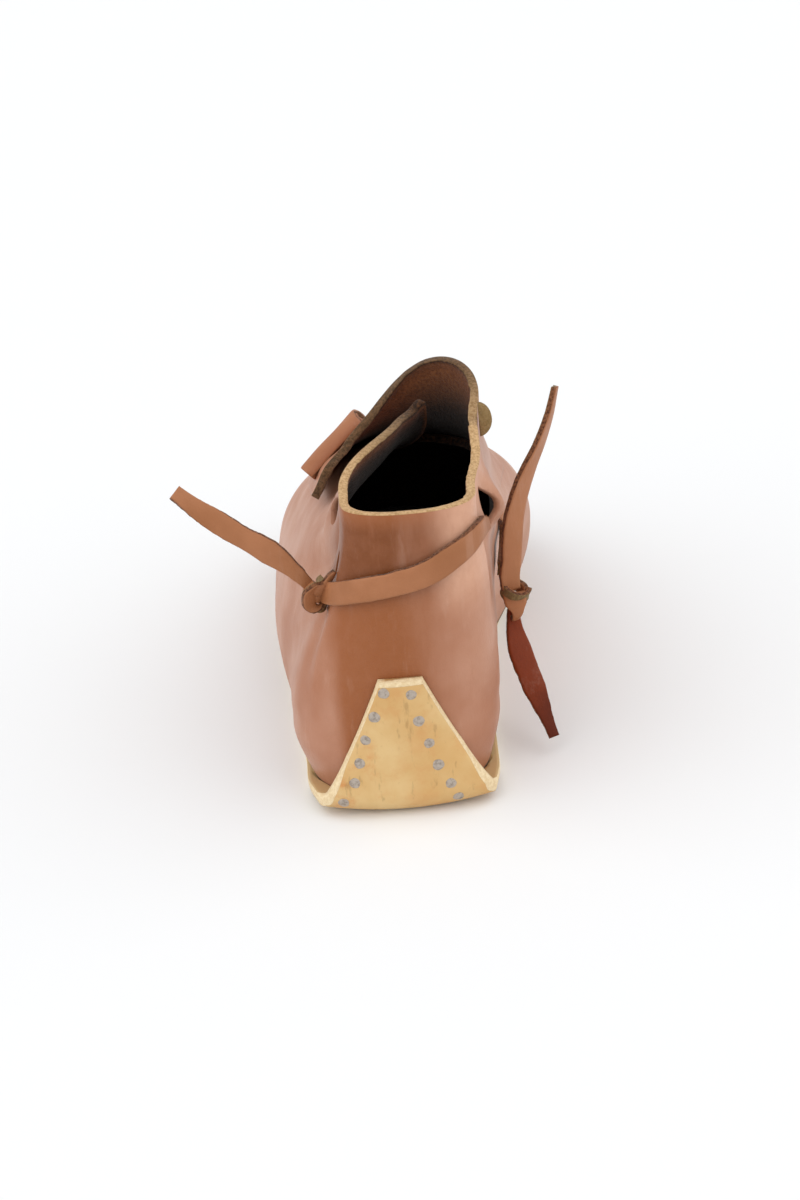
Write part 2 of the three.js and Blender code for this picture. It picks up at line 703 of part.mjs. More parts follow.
// Toggle on the flap, and the small rounded tab behind the medial collar
const TOGGLE_STAND = WALL + FLAP_GAP + TOGGLE_DIAMETER / 2 + CLEARANCE + 0.4;
const TOGGLE_HIGH = { turn: 202, height: 0.915 };
const TOGGLE_LOW = { turn: 256, height: 0.800 };
const TOGGLE_RISE = 0.03;
const highEnd = nearUpper(TOGGLE_HIGH.turn, TOGGLE_HIGH.height, TOGGLE_STAND);
const lowEnd = nearUpper(TOGGLE_LOW.turn, TOGGLE_LOW.height, TOGGLE_STAND);
const toggleBody = new THREE.CylinderGeometry(TOGGLE_DIAMETER / 2, TOGGLE_DIAMETER / 2, TOGGLE_LENGTH, 14);
const toggleRun = highEnd.clone().sub(lowEnd).normalize();
toggleBody.applyQuaternion(new THREE.Quaternion().setFromUnitVectors(vector(0, 1, 0), toggleRun));
const toggleAt = nearUpper(
  (TOGGLE_HIGH.turn + TOGGLE_LOW.turn) / 2,
  (TOGGLE_HIGH.height + TOGGLE_LOW.height) / 2 + TOGGLE_RISE,
  TOGGLE_STAND,
);
toggleBody.translate(toggleAt.x, toggleAt.y, toggleAt.z);
addPiece('toggle', toggleBody, THONG_LEATHER, 0.6);

const TAB_HOLLOW = 0.7;
const TAB_PLACE = { turn: 103, height: 1.10 };
function tabBody() {
  const outline = new THREE.Shape();
  outline.absellipse(0, 0, TAB_REACH, TAB_HEIGHT / 2, -Math.PI / 2, Math.PI / 2, false, 0);
  outline.closePath();
  const body = new THREE.ExtrudeGeometry(outline, { depth: WALL, bevelEnabled: false, curveSegments: 8 });
  body.translate(0, 0, -WALL / 2);
  const out = upperNormal(TAB_PLACE.turn, TAB_PLACE.height);
  const up = vector(0, 0, 1).addScaledVector(out, -out.z).normalize();
  const side = new THREE.Vector3().crossVectors(out, up);
  const at = nearUpper(TAB_PLACE.turn, TAB_PLACE.height, CLEARANCE + TAB_HOLLOW);
  body.applyMatrix4(new THREE.Matrix4().makeBasis(out, up, side).setPosition(at));
  return body;
}
addPiece('side_tab', tabBody(), FLESH_SIDE, 0.8);

export default shoe;
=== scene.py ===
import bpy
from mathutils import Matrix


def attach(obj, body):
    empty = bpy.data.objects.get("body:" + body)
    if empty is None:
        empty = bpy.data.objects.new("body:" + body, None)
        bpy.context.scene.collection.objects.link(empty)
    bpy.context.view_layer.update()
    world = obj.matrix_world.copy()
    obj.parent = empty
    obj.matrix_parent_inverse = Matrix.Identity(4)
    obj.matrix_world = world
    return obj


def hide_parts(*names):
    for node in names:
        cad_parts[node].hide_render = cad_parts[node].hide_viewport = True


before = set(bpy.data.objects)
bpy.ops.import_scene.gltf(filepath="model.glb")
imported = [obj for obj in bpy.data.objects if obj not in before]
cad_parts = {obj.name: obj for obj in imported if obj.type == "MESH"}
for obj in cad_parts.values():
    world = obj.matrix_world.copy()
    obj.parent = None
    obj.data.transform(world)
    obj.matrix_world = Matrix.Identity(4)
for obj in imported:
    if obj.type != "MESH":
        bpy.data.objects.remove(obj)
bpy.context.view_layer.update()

import math

import bmesh
import bpy
import numpy as np
from mathutils import Matrix, Vector

# Camera
# The photograph looks down on the heel from behind at 25 degrees, with the camera turned a little
# clockwise. The focal length is in pixels of the picture.
MM = 0.001
PICTURE = (800, 1200)
EYE = Vector((-4.0, -781.1, 439.1)) * MM
CAMERA_ELEVATION = math.radians(25)
CAMERA_AZIMUTH = math.radians(-0.5)
CAMERA_ROLL = math.radians(5)
FOCAL_PIXELS = 2270
SENSOR = 36
CLIP_START = 10 * MM

view = Vector((
    -math.sin(CAMERA_AZIMUTH) * math.cos(CAMERA_ELEVATION),
    math.cos(CAMERA_AZIMUTH) * math.cos(CAMERA_ELEVATION),
    -math.sin(CAMERA_ELEVATION),
))
level_right = Vector((math.cos(CAMERA_AZIMUTH), math.sin(CAMERA_AZIMUTH), 0))
level_up = level_right.cross(view)
camera_right = level_right * math.cos(CAMERA_ROLL) - level_up * math.sin(CAMERA_ROLL)
camera_up = level_right * math.sin(CAMERA_ROLL) + level_up * math.cos(CAMERA_ROLL)
camera_data = bpy.data.cameras.new("camera")
camera_data.sensor_width = SENSOR
camera_data.lens = FOCAL_PIXELS / max(PICTURE) * SENSOR
camera_data.clip_start = CLIP_START
camera = bpy.data.objects.new("camera", camera_data)
camera_turn = Matrix((camera_right, camera_up, -view)).transposed().to_4x4()
camera.matrix_world = Matrix.Translation(EYE) @ camera_turn
bpy.context.collection.objects.link(camera)
bpy.context.scene.camera = camera

# Thong
# A flat vegetable-tanned strip 9 mm wide runs round the heel through the slits. It is wound and folded
# into a knot on each side, and three free ends stand off. The routes repeat the part's own points.
THONG_WIDTH = 9 * MM
THONG_THICKNESS = 2.2 * MM
KNOT_THICKNESS = 1.9 * MM
STRAP_STEP = 0.8 * MM
STRAP_CUP = 0.25 * MM
STRAP_FACE = 0.97
STRAP_CORNER = 0.55
FACE_POINTS = 11
UNEVEN_WIDTH = 0.25 * MM
UNEVEN_PLACES = 7
RAGGED_EDGE = 0.16 * MM
WRAP_POINTS = 26
WRAP_SPREAD = 0.9
WRAP_START = (0.2, 0.9, 0.1)


def add_mesh(name, points, faces, values=None, smooth=True):
    """A mesh object from points and faces, with a float attribute on its points for each of values."""
    mesh = bpy.data.meshes.new(name)
    mesh.from_pydata(points, [], faces)
    for key, value in (values or {}).items():
        attribute = mesh.attributes.new(key, "FLOAT", "POINT")
        attribute.data.foreach_set("value", np.asarray(value, float).ravel())
    mesh.polygons.foreach_set("use_smooth", [smooth] * len(mesh.polygons))
    mesh.validate()
    mesh.update()
    obj = bpy.data.objects.new(name, mesh)
    bpy.context.collection.objects.link(obj)
    return obj


def ring_mesh(name, rings, values=None, capped=True):
    """A tube through closed rings of points, an array of (ring, place, axis), capped or joined up."""
    count, around = rings.shape[:2]
    place = np.arange(count * around).reshape(count, around)
    if not capped:
        place = np.vstack([place, place[:1]])
    low, high = place[:-1], place[1:]
    faces = np.stack([low, np.roll(low, -1, 1), np.roll(high, -1, 1), high], -1).reshape(-1, 4).tolist()
    if capped:
        faces += [place[0][::-1].tolist(), place[-1].tolist()]
    return add_mesh(name, rings.reshape(-1, 3).tolist(), faces, values)


def face_outwards(obj):
    """Turns the faces of a closed mesh outwards."""
    work = bmesh.new()
    work.from_mesh(obj.data)
    bmesh.ops.recalc_face_normals(work, faces=work.faces)
    if work.calc_volume(signed=True) < 0:
        bmesh.ops.reverse_faces(work, faces=work.faces)
    work.to_mesh(obj.data)
    work.free()


def hermite(t, start, end, slope_in=0.0, slope_out=0.0):
    """A smooth curve from start to end with a slope at each, for t from 0 to 1."""
    return (
        (2 * t**3 - 3 * t**2 + 1) * start
        + (t**3 - 2 * t**2 + t) * slope_in
        + (3 * t**2 - 2 * t**3) * end
        + (t**3 - t**2) * slope_out
    )


def along(table, key, name, at):
    """Values between a table's rows, on a smooth curve through them."""
    at = np.asarray(at, float)
    keys = np.array([row[key] for row in table])
    values = np.array([row[name] for row in table])
    low = np.maximum(np.arange(len(keys)) - 1, 0)
    high = np.minimum(np.arange(len(keys)) + 1, len(keys) - 1)
    slope = (values[high] - values[low]) / (keys[high] - keys[low])
    i = np.clip(np.searchsorted(keys, at) - 1, 0, len(keys) - 2)
    span = keys[i + 1] - keys[i]
    t = np.clip((at - keys[i]) / span, 0, 1)
    return hermite(t, values[i], values[i + 1], span * slope[i], span * slope[i + 1])


def ease(t):
    """A smooth step from 0 to 1."""
    c = np.clip(t, 0, 1)
    return c * c * (3 - 2 * c)


def unit(vectors):
    """Vectors of length 1 in the same directions."""
    return vectors / np.maximum(np.linalg.norm(vectors, axis=-1, keepdims=True), 1e-12)


class Shader:
    """Short names for the shader nodes that the materials share."""

    def __init__(self, name):
        self.material = bpy.data.materials.new(name)
        self.material.use_nodes = True
        self.tree = self.material.node_tree
        self.body = self.tree.nodes["Principled BSDF"]
        self.place = self.node("ShaderNodeTexCoord").outputs["Object"]

    def put(self, target, value):
        """Sets a socket to a value or links another socket to it."""
        if isinstance(value, bpy.types.NodeSocket):
            self.tree.links.new(value, target)
        else:
            target.default_value = value

    def node(self, kind, inputs=None, **settings):
        made = self.tree.nodes.new(kind)
        for key, value in settings.items():
            setattr(made, key, value)
        for key, value in (inputs or {}).items():
            self.put(made.inputs[key], value)
        return made

    def attribute(self, name):
        return self.node("ShaderNodeAttribute", attribute_name=name).outputs["Fac"]

    def stretched(self, scale):
        return self.node("ShaderNodeMapping", {"Vector": self.place, "Scale": scale}).outputs["Vector"]

    def noise(self, scale, detail=4, rough=0.55, place=None):
        inputs = {"Vector": place or self.place, "Scale": scale, "Detail": detail, "Roughness": rough}
        return self.node("ShaderNodeTexNoise", inputs).outputs["Fac"]

    def cells(self, scale):
        return self.node("ShaderNodeTexVoronoi", {"Vector": self.place, "Scale": scale}).outputs["Distance"]

    def maths(self, kind, a, b):
        return self.node("ShaderNodeMath", {0: a, 1: b}, operation=kind).outputs[0]

    def times(self, a, b):
        return self.maths("MULTIPLY", a, b)

    def span(self, value, low, high, to_low=0.0, to_high=1.0):
        """Maps a value's span to another, smoothly and held at its ends."""
        inputs = {"Value": value, "From Min": low, "From Max": high, "To Min": to_low, "To Max": to_high}
        return self.node("ShaderNodeMapRange", inputs, interpolation_type="SMOOTHSTEP").outputs["Result"]

    def mix(self, amount, a, b):
        made = self.node("ShaderNodeMix", {"Factor": amount}, data_type="RGBA")
        colours = [s for s in made.inputs if s.type == "RGBA"]
        self.put(colours[0], a)
        self.put(colours[1], b)
        return next(s for s in made.outputs if s.type == "RGBA")

    def bump(self, height, distance, strength, under=None):
        inputs = {"Distance": distance, "Strength": strength, "Height": height}
        if under:
            inputs["Normal"] = under
        return self.node("ShaderNodeBump", inputs).outputs["Normal"]

    def finish(self, colour, roughness, normal=None, **others):
        """Joins the looks to the material's body."""
        inputs = {"Base Color": colour, "Roughness": roughness, **others}
        if normal:
            inputs["Normal"] = normal
        for key, value in inputs.items():
            self.put(self.body.inputs[key], value)
        return self.material


def colour(text):
    """A linear colour from a web colour."""
    parts = [int(text[i:i + 2], 16) / 255 for i in (1, 3, 5)]
    return (*[p / 12.92 if p <= 0.04045 else ((p + 0.055) / 1.055) ** 2.4 for p in parts], 1)


def leather(name, grain, deep, flesh, gloss=0.42, warm=None, shine=0.22):
    """Vegetable-tanned leather: a fine pored grain side, a fibrous flesh side, and cut edges between.

    Flesh holds two colours of the flesh side and two of the cut edges. The point attributes flesh and
    cut say which side shows, and stain_and_shade darkens the raw sides: with painted shade on the flesh
    side inside the shoe and on the rim under the flap, and with darker cut edges elsewhere."""
    s = Shader(name)
    cloud = s.noise(26, 3)
    fine = s.noise(240, 5, 0.6)
    fibres = s.noise(900, 4, 0.7)
    outer = s.mix(s.span(cloud, 0.35, 0.7), colour(grain), colour(deep))
    if warm:
        outer = warm(s, outer, *s.node("ShaderNodeSeparateXYZ", {0: s.place}).outputs)
    outer = s.mix(s.span(fine, 0.3, 0.75, 0.0, 0.16), outer, colour(deep))
    streaks = s.noise(120, 5, 0.65, s.stretched((1, 1, 0.22)))
    outer = s.mix(s.span(streaks, 0.56, 0.74, 0.0, 0.09), outer, colour("#e3c4b2"))
    outer = s.mix(s.span(streaks, 0.44, 0.3, 0.0, 0.2), outer, colour(deep))
    rough_side = s.mix(s.span(fibres, 0.3, 0.7), colour(flesh[0]), colour(flesh[1]))
    side = s.span(s.attribute("flesh"), 0.3, 0.6)
    edge = s.span(s.attribute("cut"), 0.35, 0.75)
    cut = s.mix(s.span(fibres, 0.36, 0.62), colour(flesh[2]), colour(flesh[3]))
    # Painted shade: the flesh side inside the shoe and the rim under the flap turn towards these near-black
    # browns, and some other cut edges darken too.
    stain_and_shade = s.attribute("stain_and_shade")
    dark = s.mix(s.span(fibres, 0.4, 0.75), colour("#140c07"), colour("#3f2817"))
    rough_side = s.mix(stain_and_shade, rough_side, dark)
    dark_cut = s.mix(s.span(fibres, 0.36, 0.66), colour("#1c0f08"), colour("#5c3a21"))
    cut = s.mix(stain_and_shade, cut, dark_cut)
    base = s.mix(edge, s.mix(side, outer, rough_side), cut)
    raw = s.maths("MAXIMUM", side, edge)
    smooth = s.maths("SUBTRACT", 1.0, raw)
    normal = s.bump(s.times(s.cells(1500), smooth), 0.00012, 0.5)
    normal = s.bump(s.times(fine, s.maths("SUBTRACT", 1.2, raw)), 0.0005, 0.25, normal)
    normal = s.bump(s.times(streaks, smooth), 0.0012, 0.22, normal)
    normal = s.bump(s.times(fibres, raw), 0.0009, 0.9, normal)
    roughness = s.maths("ADD", s.span(cloud, 0.3, 0.7, gloss - 0.05, gloss + 0.07), s.times(raw, 0.45))
    others = {"Sheen Weight": s.times(raw, 0.1), "Specular IOR Level": shine}
    return s.finish(base, roughness, normal, **others)


def smooth_route(points, step):
    """Points at even steps on a smooth curve through the given ones, with their shares of the way."""
    points = np.asarray(points, float)
    lengths = np.concatenate([[0], np.cumsum(np.linalg.norm(np.diff(points, axis=0), axis=1))])
    rows = [dict(at=a, **{str(k): v for k, v in enumerate(p)}) for a, p in zip(lengths, points)]
    count = max(int(lengths[-1] / step), 4)
    at = np.linspace(0, lengths[-1], count + 1)
    return np.stack([along(rows, "at", str(k), at) for k in range(points.shape[1])], -1), at / lengths[-1]


def strap(name, points, across, width=THONG_WIDTH, thickness=THONG_THICKNESS, seed=1, tip=None, face=1):
    """A flat strip along a route. Its grain faces across x route, or with face -1 the other way."""
    route, share = smooth_route(np.hstack([points, across]), STRAP_STEP)
    at, wide = route[:, :3], route[:, 3:]
    run = unit(np.gradient(at, axis=0))
    wide = unit(wide - run * (wide * run).sum(1, keepdims=True))
    out = np.cross(wide, run) * face
    rng = np.random.default_rng(seed)
    ragged = np.convolve(rng.normal(0, 1, len(at) + 8), np.ones(3) / 3, "valid")[: len(at)] * RAGGED_EDGE
    uneven = rng.normal(0, UNEVEN_WIDTH, UNEVEN_PLACES)
    slow = np.interp(share, np.linspace(0, 1, UNEVEN_PLACES), uneven)
    half = np.full(len(at), width / 2) + slow
    if tip is not None:
        half *= tip(share)
    top = [(t, 1.0) for t in np.linspace(-STRAP_FACE, STRAP_FACE, FACE_POINTS)]
    top += [(1.0, STRAP_CORNER), (1.0, -STRAP_CORNER)]
    rings = []
    for a, side in top + [(-a, -side) for a, side in top]:
        width_here = half * a + (ragged * np.sign(a) if abs(a) > 0.9 and side < 0.9 else 0)
        rise = thickness / 2 * side - STRAP_CUP * a * a
        rings.append(at + wide * width_here[:, None] + out * rise)
    rings = np.stack(rings, 1)
    flesh = [0.0] * (FACE_POINTS + 1) + [1.0] * (FACE_POINTS + 2) + [0.0]
    cut = ([0.0] * FACE_POINTS + [1.0, 1.0]) * 2
    values = {"flesh": np.tile(flesh, (len(at), 1)), "cut": np.tile(cut, (len(at), 1))}
    obj = ring_mesh(name, rings, {**values, "stain_and_shade": np.zeros(rings.shape[:2])})
    face_outwards(obj)
    return obj, at


THONG_FLESH = ("#6f5a3a", "#94794f", "#4f2c1b", "#8a5a3c")
thong_leather = leather("thong leather", "#aa714d", "#945e3a", THONG_FLESH, 0.46)
# A darker copy of the thong leather for the lower right end: painted shade for the grain side of the end
# that hangs down in shadow.
shaded_thong_leather = leather("dark thong leather", "#7d3417", "#58200e", THONG_FLESH, 0.42, shine=0.15)


def wrap(centre, axis, radius, width, turns, pitch, start, seed, face):
    """A strip wound round an axis, with its grain out, or its flesh side where face is 1. Sizes in mm."""
    axis = unit(np.array(axis, float))
    first = unit(np.cross(axis, WRAP_START))
    second = np.cross(axis, first)
    share = np.linspace(0, 1, WRAP_POINTS)[:, None]
    angle = np.radians(start) + 2 * math.pi * turns * share
    ring = (first * np.cos(angle) + second * np.sin(angle)) * (radius + WRAP_SPREAD * share)
    points = (np.array(centre) + ring + axis * (share - 0.5) * pitch) * MM
    across = np.tile(axis, (WRAP_POINTS, 1)) * MM
    return strap("run", points, across, width * MM, KNOT_THICKNESS, seed, face=face)[0]


def join(name, pieces):
    """One object of several meshes that are all in place."""
    work = bmesh.new()
    for piece in pieces:
        work.from_mesh(piece.data)
    mesh = bpy.data.meshes.new(name)
    work.to_mesh(mesh)
    work.free()
    for piece in pieces:
        bpy.data.objects.remove(piece)
    obj = bpy.data.objects.new(name, mesh)
    bpy.context.collection.objects.link(obj)
    return obj


def short_strap(rows, width, seed, face, tip):
    """A short folded run of the strip inside a knot. Its width is in mm."""
    points, across = (np.array([row[i] for row in rows], float) * MM for i in (0, 1))
    return strap("run", points, across, width * MM, KNOT_THICKNESS, seed, tip, face)[0]


# Rows of a run hold a point in mm and the way across the strip there.
LOBE_LEFT = [
    ((-24.8, -9.6, 91.0), (0.7, 0.5, 0.5)),
    ((-28.0, -10.6, 88.8), (0.75, 0.5, 0.4)),
    ((-30.7, -10.4, 85.0), (0.85, 0.5, 0)),
    ((-30.4, -9.4, 81.0), (0.8, 0.55, -0.3)),
    ((-27.6, -7.4, 78.6), (0.5, 0.7, -0.5)),
    ((-25.4, -4.6, 78.4), (0.3, 0.8, -0.5)),
]
TONGUE_LEFT = [
    ((-29.0, -9.4, 85.0), (0.7, 0.3, -0.5)),
    ((-25.0, -10.8, 88.8), (0.7, 0.3, -0.5)),
    ((-20.6, -11.2, 94.2), (0.75, 0.3, -0.35)),
]
LOBE_RIGHT = [
    ((48.2, 32.2, 58.2), (1, 0, 0)),
    ((48.6, 28.8, 55.4), (1, 0, 0)),
    ((48.9, 27.9, 51.8), (1, 0, 0.15)),
    ((48.0, 29.4, 48.6), (1, 0, 0.2)),
    ((47.2, 33.0, 47.8), (1, 0, 0.1)),
]
knot_left = join("left_knot", [
    wrap((-28.6, -5.4, 84.0), (0.75, 0.1, 0.62), radius=2.9, width=5.5, turns=1.15, pitch=2.5, start=200,
         seed=31, face=-1),
    short_strap(LOBE_LEFT, width=6.4, seed=21, face=-1, tip=lambda share: 0.6 + 0.4 * np.sin(np.pi * share)),
    short_strap(TONGUE_LEFT, width=6.0, seed=23, face=1, tip=lambda share: 1 - 0.8 * share),
])
knot_right = join("right_knot", [
    wrap((48.9, 34.0, 58.4), (0.3, -0.3, 0.92), radius=4.0, width=4.8, turns=1.12, pitch=2.0, start=150,
         seed=33, face=1),
    short_strap(LOBE_RIGHT, width=9.6, seed=22, face=-1,
                tip=lambda share: 1 - 0.72 * ease((share - 0.1) / 0.62)),
])
for piece, node in ((knot_left, "knot_left"), (knot_right, "knot_right")):
    piece.data.materials.append(thong_leather)
    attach(piece, "root")
    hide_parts(node)

END_LEFT = [
    ((-30.5, -4.5, 86.0), (0.45, 0.3, 0.9)),
    ((-33.6, -4.5, 90.3), (0.45, 0.1, 0.9)),
    ((-40.2, -3.0, 96.9), (0.5, 0, 0.85)),
    ((-48.0, -1.5, 103.0), (0.5, 0, 0.85)),
    ((-55.5, 0.5, 107.6), (0.45, 0.1, 0.85)),
    ((-63.0, 3.0, 112.6), (0.4, 0.25, 0.8)),
    ((-70.0, 5.0, 117.6), (0.4, 0.45, 0.7)),
    ((-77.5, 7.0, 124.2), (0.35, 0.6, 0.5)),
]
END_RIGHT_UP = [
    ((47.4, 33.8, 59.0), (0.92, 0.4, 0)),
    ((47.2, 34.0, 65.2), (0.92, 0.4, 0)),
    ((48.2, 34.5, 72.0), (0.92, 0.4, 0)),
    ((49.0, 35.0, 80.0), (0.92, 0.42, 0)),
    ((50.3, 36.0, 88.5), (0.85, 0.55, -0.1)),
    ((53.2, 37.5, 98.0), (0.7, 0.7, -0.3)),
    ((57.5, 40.0, 107.2), (0.6, 0.8, -0.3)),
    ((62.5, 42.0, 116.5), (0.45, 0.9, -0.3)),
    ((67.0, 44.0, 127.0), (0.35, 0.9, -0.2)),
    ((70.3, 46.0, 138.0), (0.25, 0.95, -0.1)),
]
END_RIGHT_DOWN = [
    ((47.8, 33.8, 54.5), (1, 0.1, 0)),
    ((47.6, 32.9, 49.0), (1, 0.2, 0)),
    ((47.7, 30.0, 42.5), (1, 0.3, 0)),
    ((49.2, 24.5, 35.0), (0.95, 0.4, 0.2)),
    ((51.7, 18.5, 27.5), (0.9, 0.4, 0.3)),
    ((54.6, 12.5, 19.5), (0.85, 0.4, 0.4)),
    ((58.8, 4.5, 7.5), (0.8, 0.4, 0.4)),
]


def free_width(share, pinch, opens_by, full=1.0, narrows_from=0.68, tip=0.65):
    """The width of a free end along its way: pinched at its knot and narrower again at its cut tip."""
    opening = pinch + (1 - pinch) * ease(share / opens_by)
    return opening * (full - (full - tip) * ease((share - narrows_from) / (1 - narrows_from)))


def free_end(name, node, rows, seed, shape, material=thong_leather, face=1):
    """One free end of the thong, which comes out of a knot."""
    points, across = (np.array([row[i] for row in rows], float) * MM for i in (0, 1))
    obj, route = strap(name, points, across, seed=seed, face=face,
                       tip=lambda share: free_width(share, **shape))
    obj.data.materials.append(material)
    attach(obj, "root")
    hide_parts(node)


free_end("thong_end_left", "end_left", END_LEFT, 3, dict(pinch=0.55, opens_by=0.35))
free_end("thong_end_right_up", "end_right_up", END_RIGHT_UP, 5, dict(pinch=0.9, opens_by=0.1))
free_end("thong_end_right_down", "end_right_down", END_RIGHT_DOWN, 8,
         dict(pinch=0.4, opens_by=0.42, full=1.04, narrows_from=0.5, tip=0.44), shaded_thong_leather, -1)

# Upper
# One piece of vegetable-tanned leather 2.4 mm thick, wet-formed over a last. Its medial side wraps over
# the instep, the lateral side lies under it, and its cut edges show the fibrous flesh side.
LENGTH = 285 * MM
BALL_WIDTH = 110 * MM
COLLAR_HEIGHT = 120 * MM
HEEL_CENTRE = 35 * MM  # from the back of the heel to the frame's origin
WALL = 2.4 * MM
SOLE_THICKNESS = 5 * MM
CLEARANCE = 0.3 * MM
FEATHER = SOLE_THICKNESS + CLEARANCE
TOE_SPRING = 8 * MM
TOE_SPRING_FROM = 0.76
HEEL_AT = 0.16
WAIST_AT = 0.42
BALL_AT = 0.7
BACK_POWER = 2.5
FRONT_POWER = 2.05
# Levels of the last: heights are shares of COLLAR_HEIGHT, both ends shares of LENGTH, and the shifts and
# half widths of the medial (M) and lateral (L) side shares of BALL_WIDTH.
LEVEL_COLUMNS = (
    "height", "back", "front", "mid", "tip", "heelM", "heelL", "waistM", "waistL", "ballM", "ballL",
)
LEVELS = [dict(zip(LEVEL_COLUMNS, row)) for row in (
    (0.00, 0.020, 0.980, 0.00, 0.07, 0.310, 0.345, 0.330, 0.420, 0.480, 0.460),
    (0.15, 0.019, 0.993, 0.00, 0.07, 0.350, 0.395, 0.370, 0.460, 0.550, 0.480),
    (0.30, 0.021, 0.955, 0.01, 0.07, 0.345, 0.385, 0.375, 0.455, 0.560, 0.465),
    (0.45, 0.023, 0.860, 0.02, 0.08, 0.330, 0.340, 0.380, 0.420, 0.520, 0.430),
    (0.61, 0.026, 0.725, 0.03, 0.09, 0.305, 0.280, 0.365, 0.355, 0.450, 0.365),
    (0.75, 0.030, 0.595, 0.05, 0.09, 0.275, 0.250, 0.335, 0.295, 0.360, 0.295),
    (0.88, 0.033, 0.465, 0.07, 0.10, 0.240, 0.230, 0.290, 0.245, 0.300, 0.225),
    (1.02, 0.037, 0.395, 0.08, 0.11, 0.230, 0.230, 0.260, 0.230, 0.260, 0.190),
    (1.28, 0.044, 0.360, 0.09, 0.13, 0.230, 0.220, 0.260, 0.210, 0.240, 0.170),
)]
# The collar's edge at shares of the way from heel to toe.
RIM = [dict(zip(("at", "medial", "lateral"), row)) for row in (
    (0.00, 1.000, 1.000),
    (0.12, 1.005, 1.005),
    (0.35, 1.030, 1.040),
    (0.60, 1.095, 1.075),
    (0.82, 1.115, 1.090),
    (1.00, 1.085, 1.085),
)]
# The flap's upper and lower edge, by turn.
FLAP = [dict(zip(("turn", "top", "foot"), row)) for row in (
    (98, 1.075, 0.72),
    (122, 1.160, 0.68),
    (146, 1.220, 0.64),
    (168, 1.210, 0.62),
    (187, 1.130, 0.62),
    (213, 0.990, 0.62),
    (238, 0.925, 0.62),
    (254, 0.880, 0.64),
    (266, 0.785, 0.68),
)]
FLAP_GAP = 0.9 * MM
FLAP_SLANT = 0.22
FLAP_ROOT = 0.08 * MM
TUCK_OVER = 19 * MM
TUCK_BACK = 10 * MM
WAVES = 7
WAVE_SIZE = 55 * MM
WAVE_DEPTH = 0.35 * MM
SEAT_FROM, SEAT_RUN = 0.03, 0.12
RIM_ANGLES = (25, 55, 90, 125, 155)
RIM_SQUARE = 0.6
RIM_PARED = 1.1 * MM
RIM_FUZZ = 0.22 * MM
RIM_RISE = 0.28


def spring(forward):
    """How far the toe end of the sole is lifted at a distance from the back of the heel."""
    start = TOE_SPRING_FROM * LENGTH
    return TOE_SPRING * np.maximum((forward - start) / (LENGTH - start), 0) ** 2


def half_width(share, heel, waist, ball):
    """Half a level's width at a share of its length: round ends, and a smooth run past the waist."""
    back = heel * np.maximum(1 - np.abs(1 - share / HEEL_AT) ** BACK_POWER, 0) ** (1 / BACK_POWER)
    out = np.clip((share - BALL_AT) / (1 - BALL_AT), 0, 1)
    front = ball * np.maximum(1 - out**FRONT_POWER, 0) ** (1 / FRONT_POWER)
    slope = (ball - heel) / (BALL_AT - HEEL_AT)
    near, far = WAIST_AT - HEEL_AT, BALL_AT - WAIST_AT
    first = hermite((share - HEEL_AT) / near, heel, waist, slope_out=near * slope)
    second = hermite((share - WAIST_AT) / far, waist, ball, slope_in=far * slope)
    middle = np.where(share < WAIST_AT, first, second)
    return np.where(share < HEEL_AT, back, np.where(share > BALL_AT, front, middle))


def upper_point(turn, height):
    """Points of the upper's outer face. Turn is in degrees from the back over the medial side."""
    turn, height = np.broadcast_arrays(np.asarray(turn, float), np.asarray(height, float))
    angle = np.radians(turn)
    share = (1 - np.cos(angle)) / 2
    medial = np.sin(angle) >= 0

    def value(name):
        return along(LEVELS, "height", name, height)

    def either(name):
        return np.where(medial, value(name + "M"), value(name + "L"))

    half = half_width(share, either("heel"), either("waist"), either("ball"))
    middle = value("mid") + (value("tip") - value("mid")) * share * share
    back = value("back") * LENGTH
    forward = back + (value("front") * LENGTH - back) * share
    lift = spring(forward) * (1 - ease(height / 0.5))
    x = BALL_WIDTH * (middle + np.where(medial, half, -half))
    return np.stack([x, forward - HEEL_CENTRE, FEATHER + height * (COLLAR_HEIGHT - FEATHER) + lift], -1)


def upper_normal(turn, height):
    """The outward direction of the upper."""
    height = np.clip(height, 0.005, 1.27)
    around = upper_point(turn + 1.5, height) - upper_point(turn - 1.5, height)
    up = upper_point(turn, height + 0.01) - upper_point(turn, height - 0.01)
    return unit(np.cross(around, up))


def near_upper(turn, height, out):
    """Points at a distance out of the upper's outer face."""
    out = np.broadcast_to(out, np.broadcast_shapes(np.shape(turn), np.shape(height)))
    point = upper_point(turn, height) + upper_normal(turn, height) * out[..., None]
    floor = upper_point(turn, height)[..., 2]
    point[..., 2] = np.where(np.broadcast_to(height, out.shape) <= 0, floor, point[..., 2])
    return point


def collar_height(turn):
    """The height of the collar's cut edge, as a share of COLLAR_HEIGHT."""
    angle = np.radians(turn)
    share = (1 - np.cos(angle)) / 2
    medial, lateral = (along(RIM, "at", side, share) for side in ("medial", "lateral"))
    return np.where(np.sin(angle) >= 0, medial, lateral)


def tucked(turn, height):
    """How the lateral edge is drawn in under the flap."""
    turn = np.mod(turn, 360)
    over = ease((turn - 160) / 50) * (1 - ease((turn - 225) / 78))
    back = ease((turn - 115) / 60) * (1 - ease((turn - 190) / 60))
    up = ease((height - 0.64) / 0.4)
    return np.stack(np.broadcast_arrays(TUCK_OVER * over * up, -TUCK_BACK * back * up, 0 * up), -1)


CREASE_STEP = 2.5 * MM
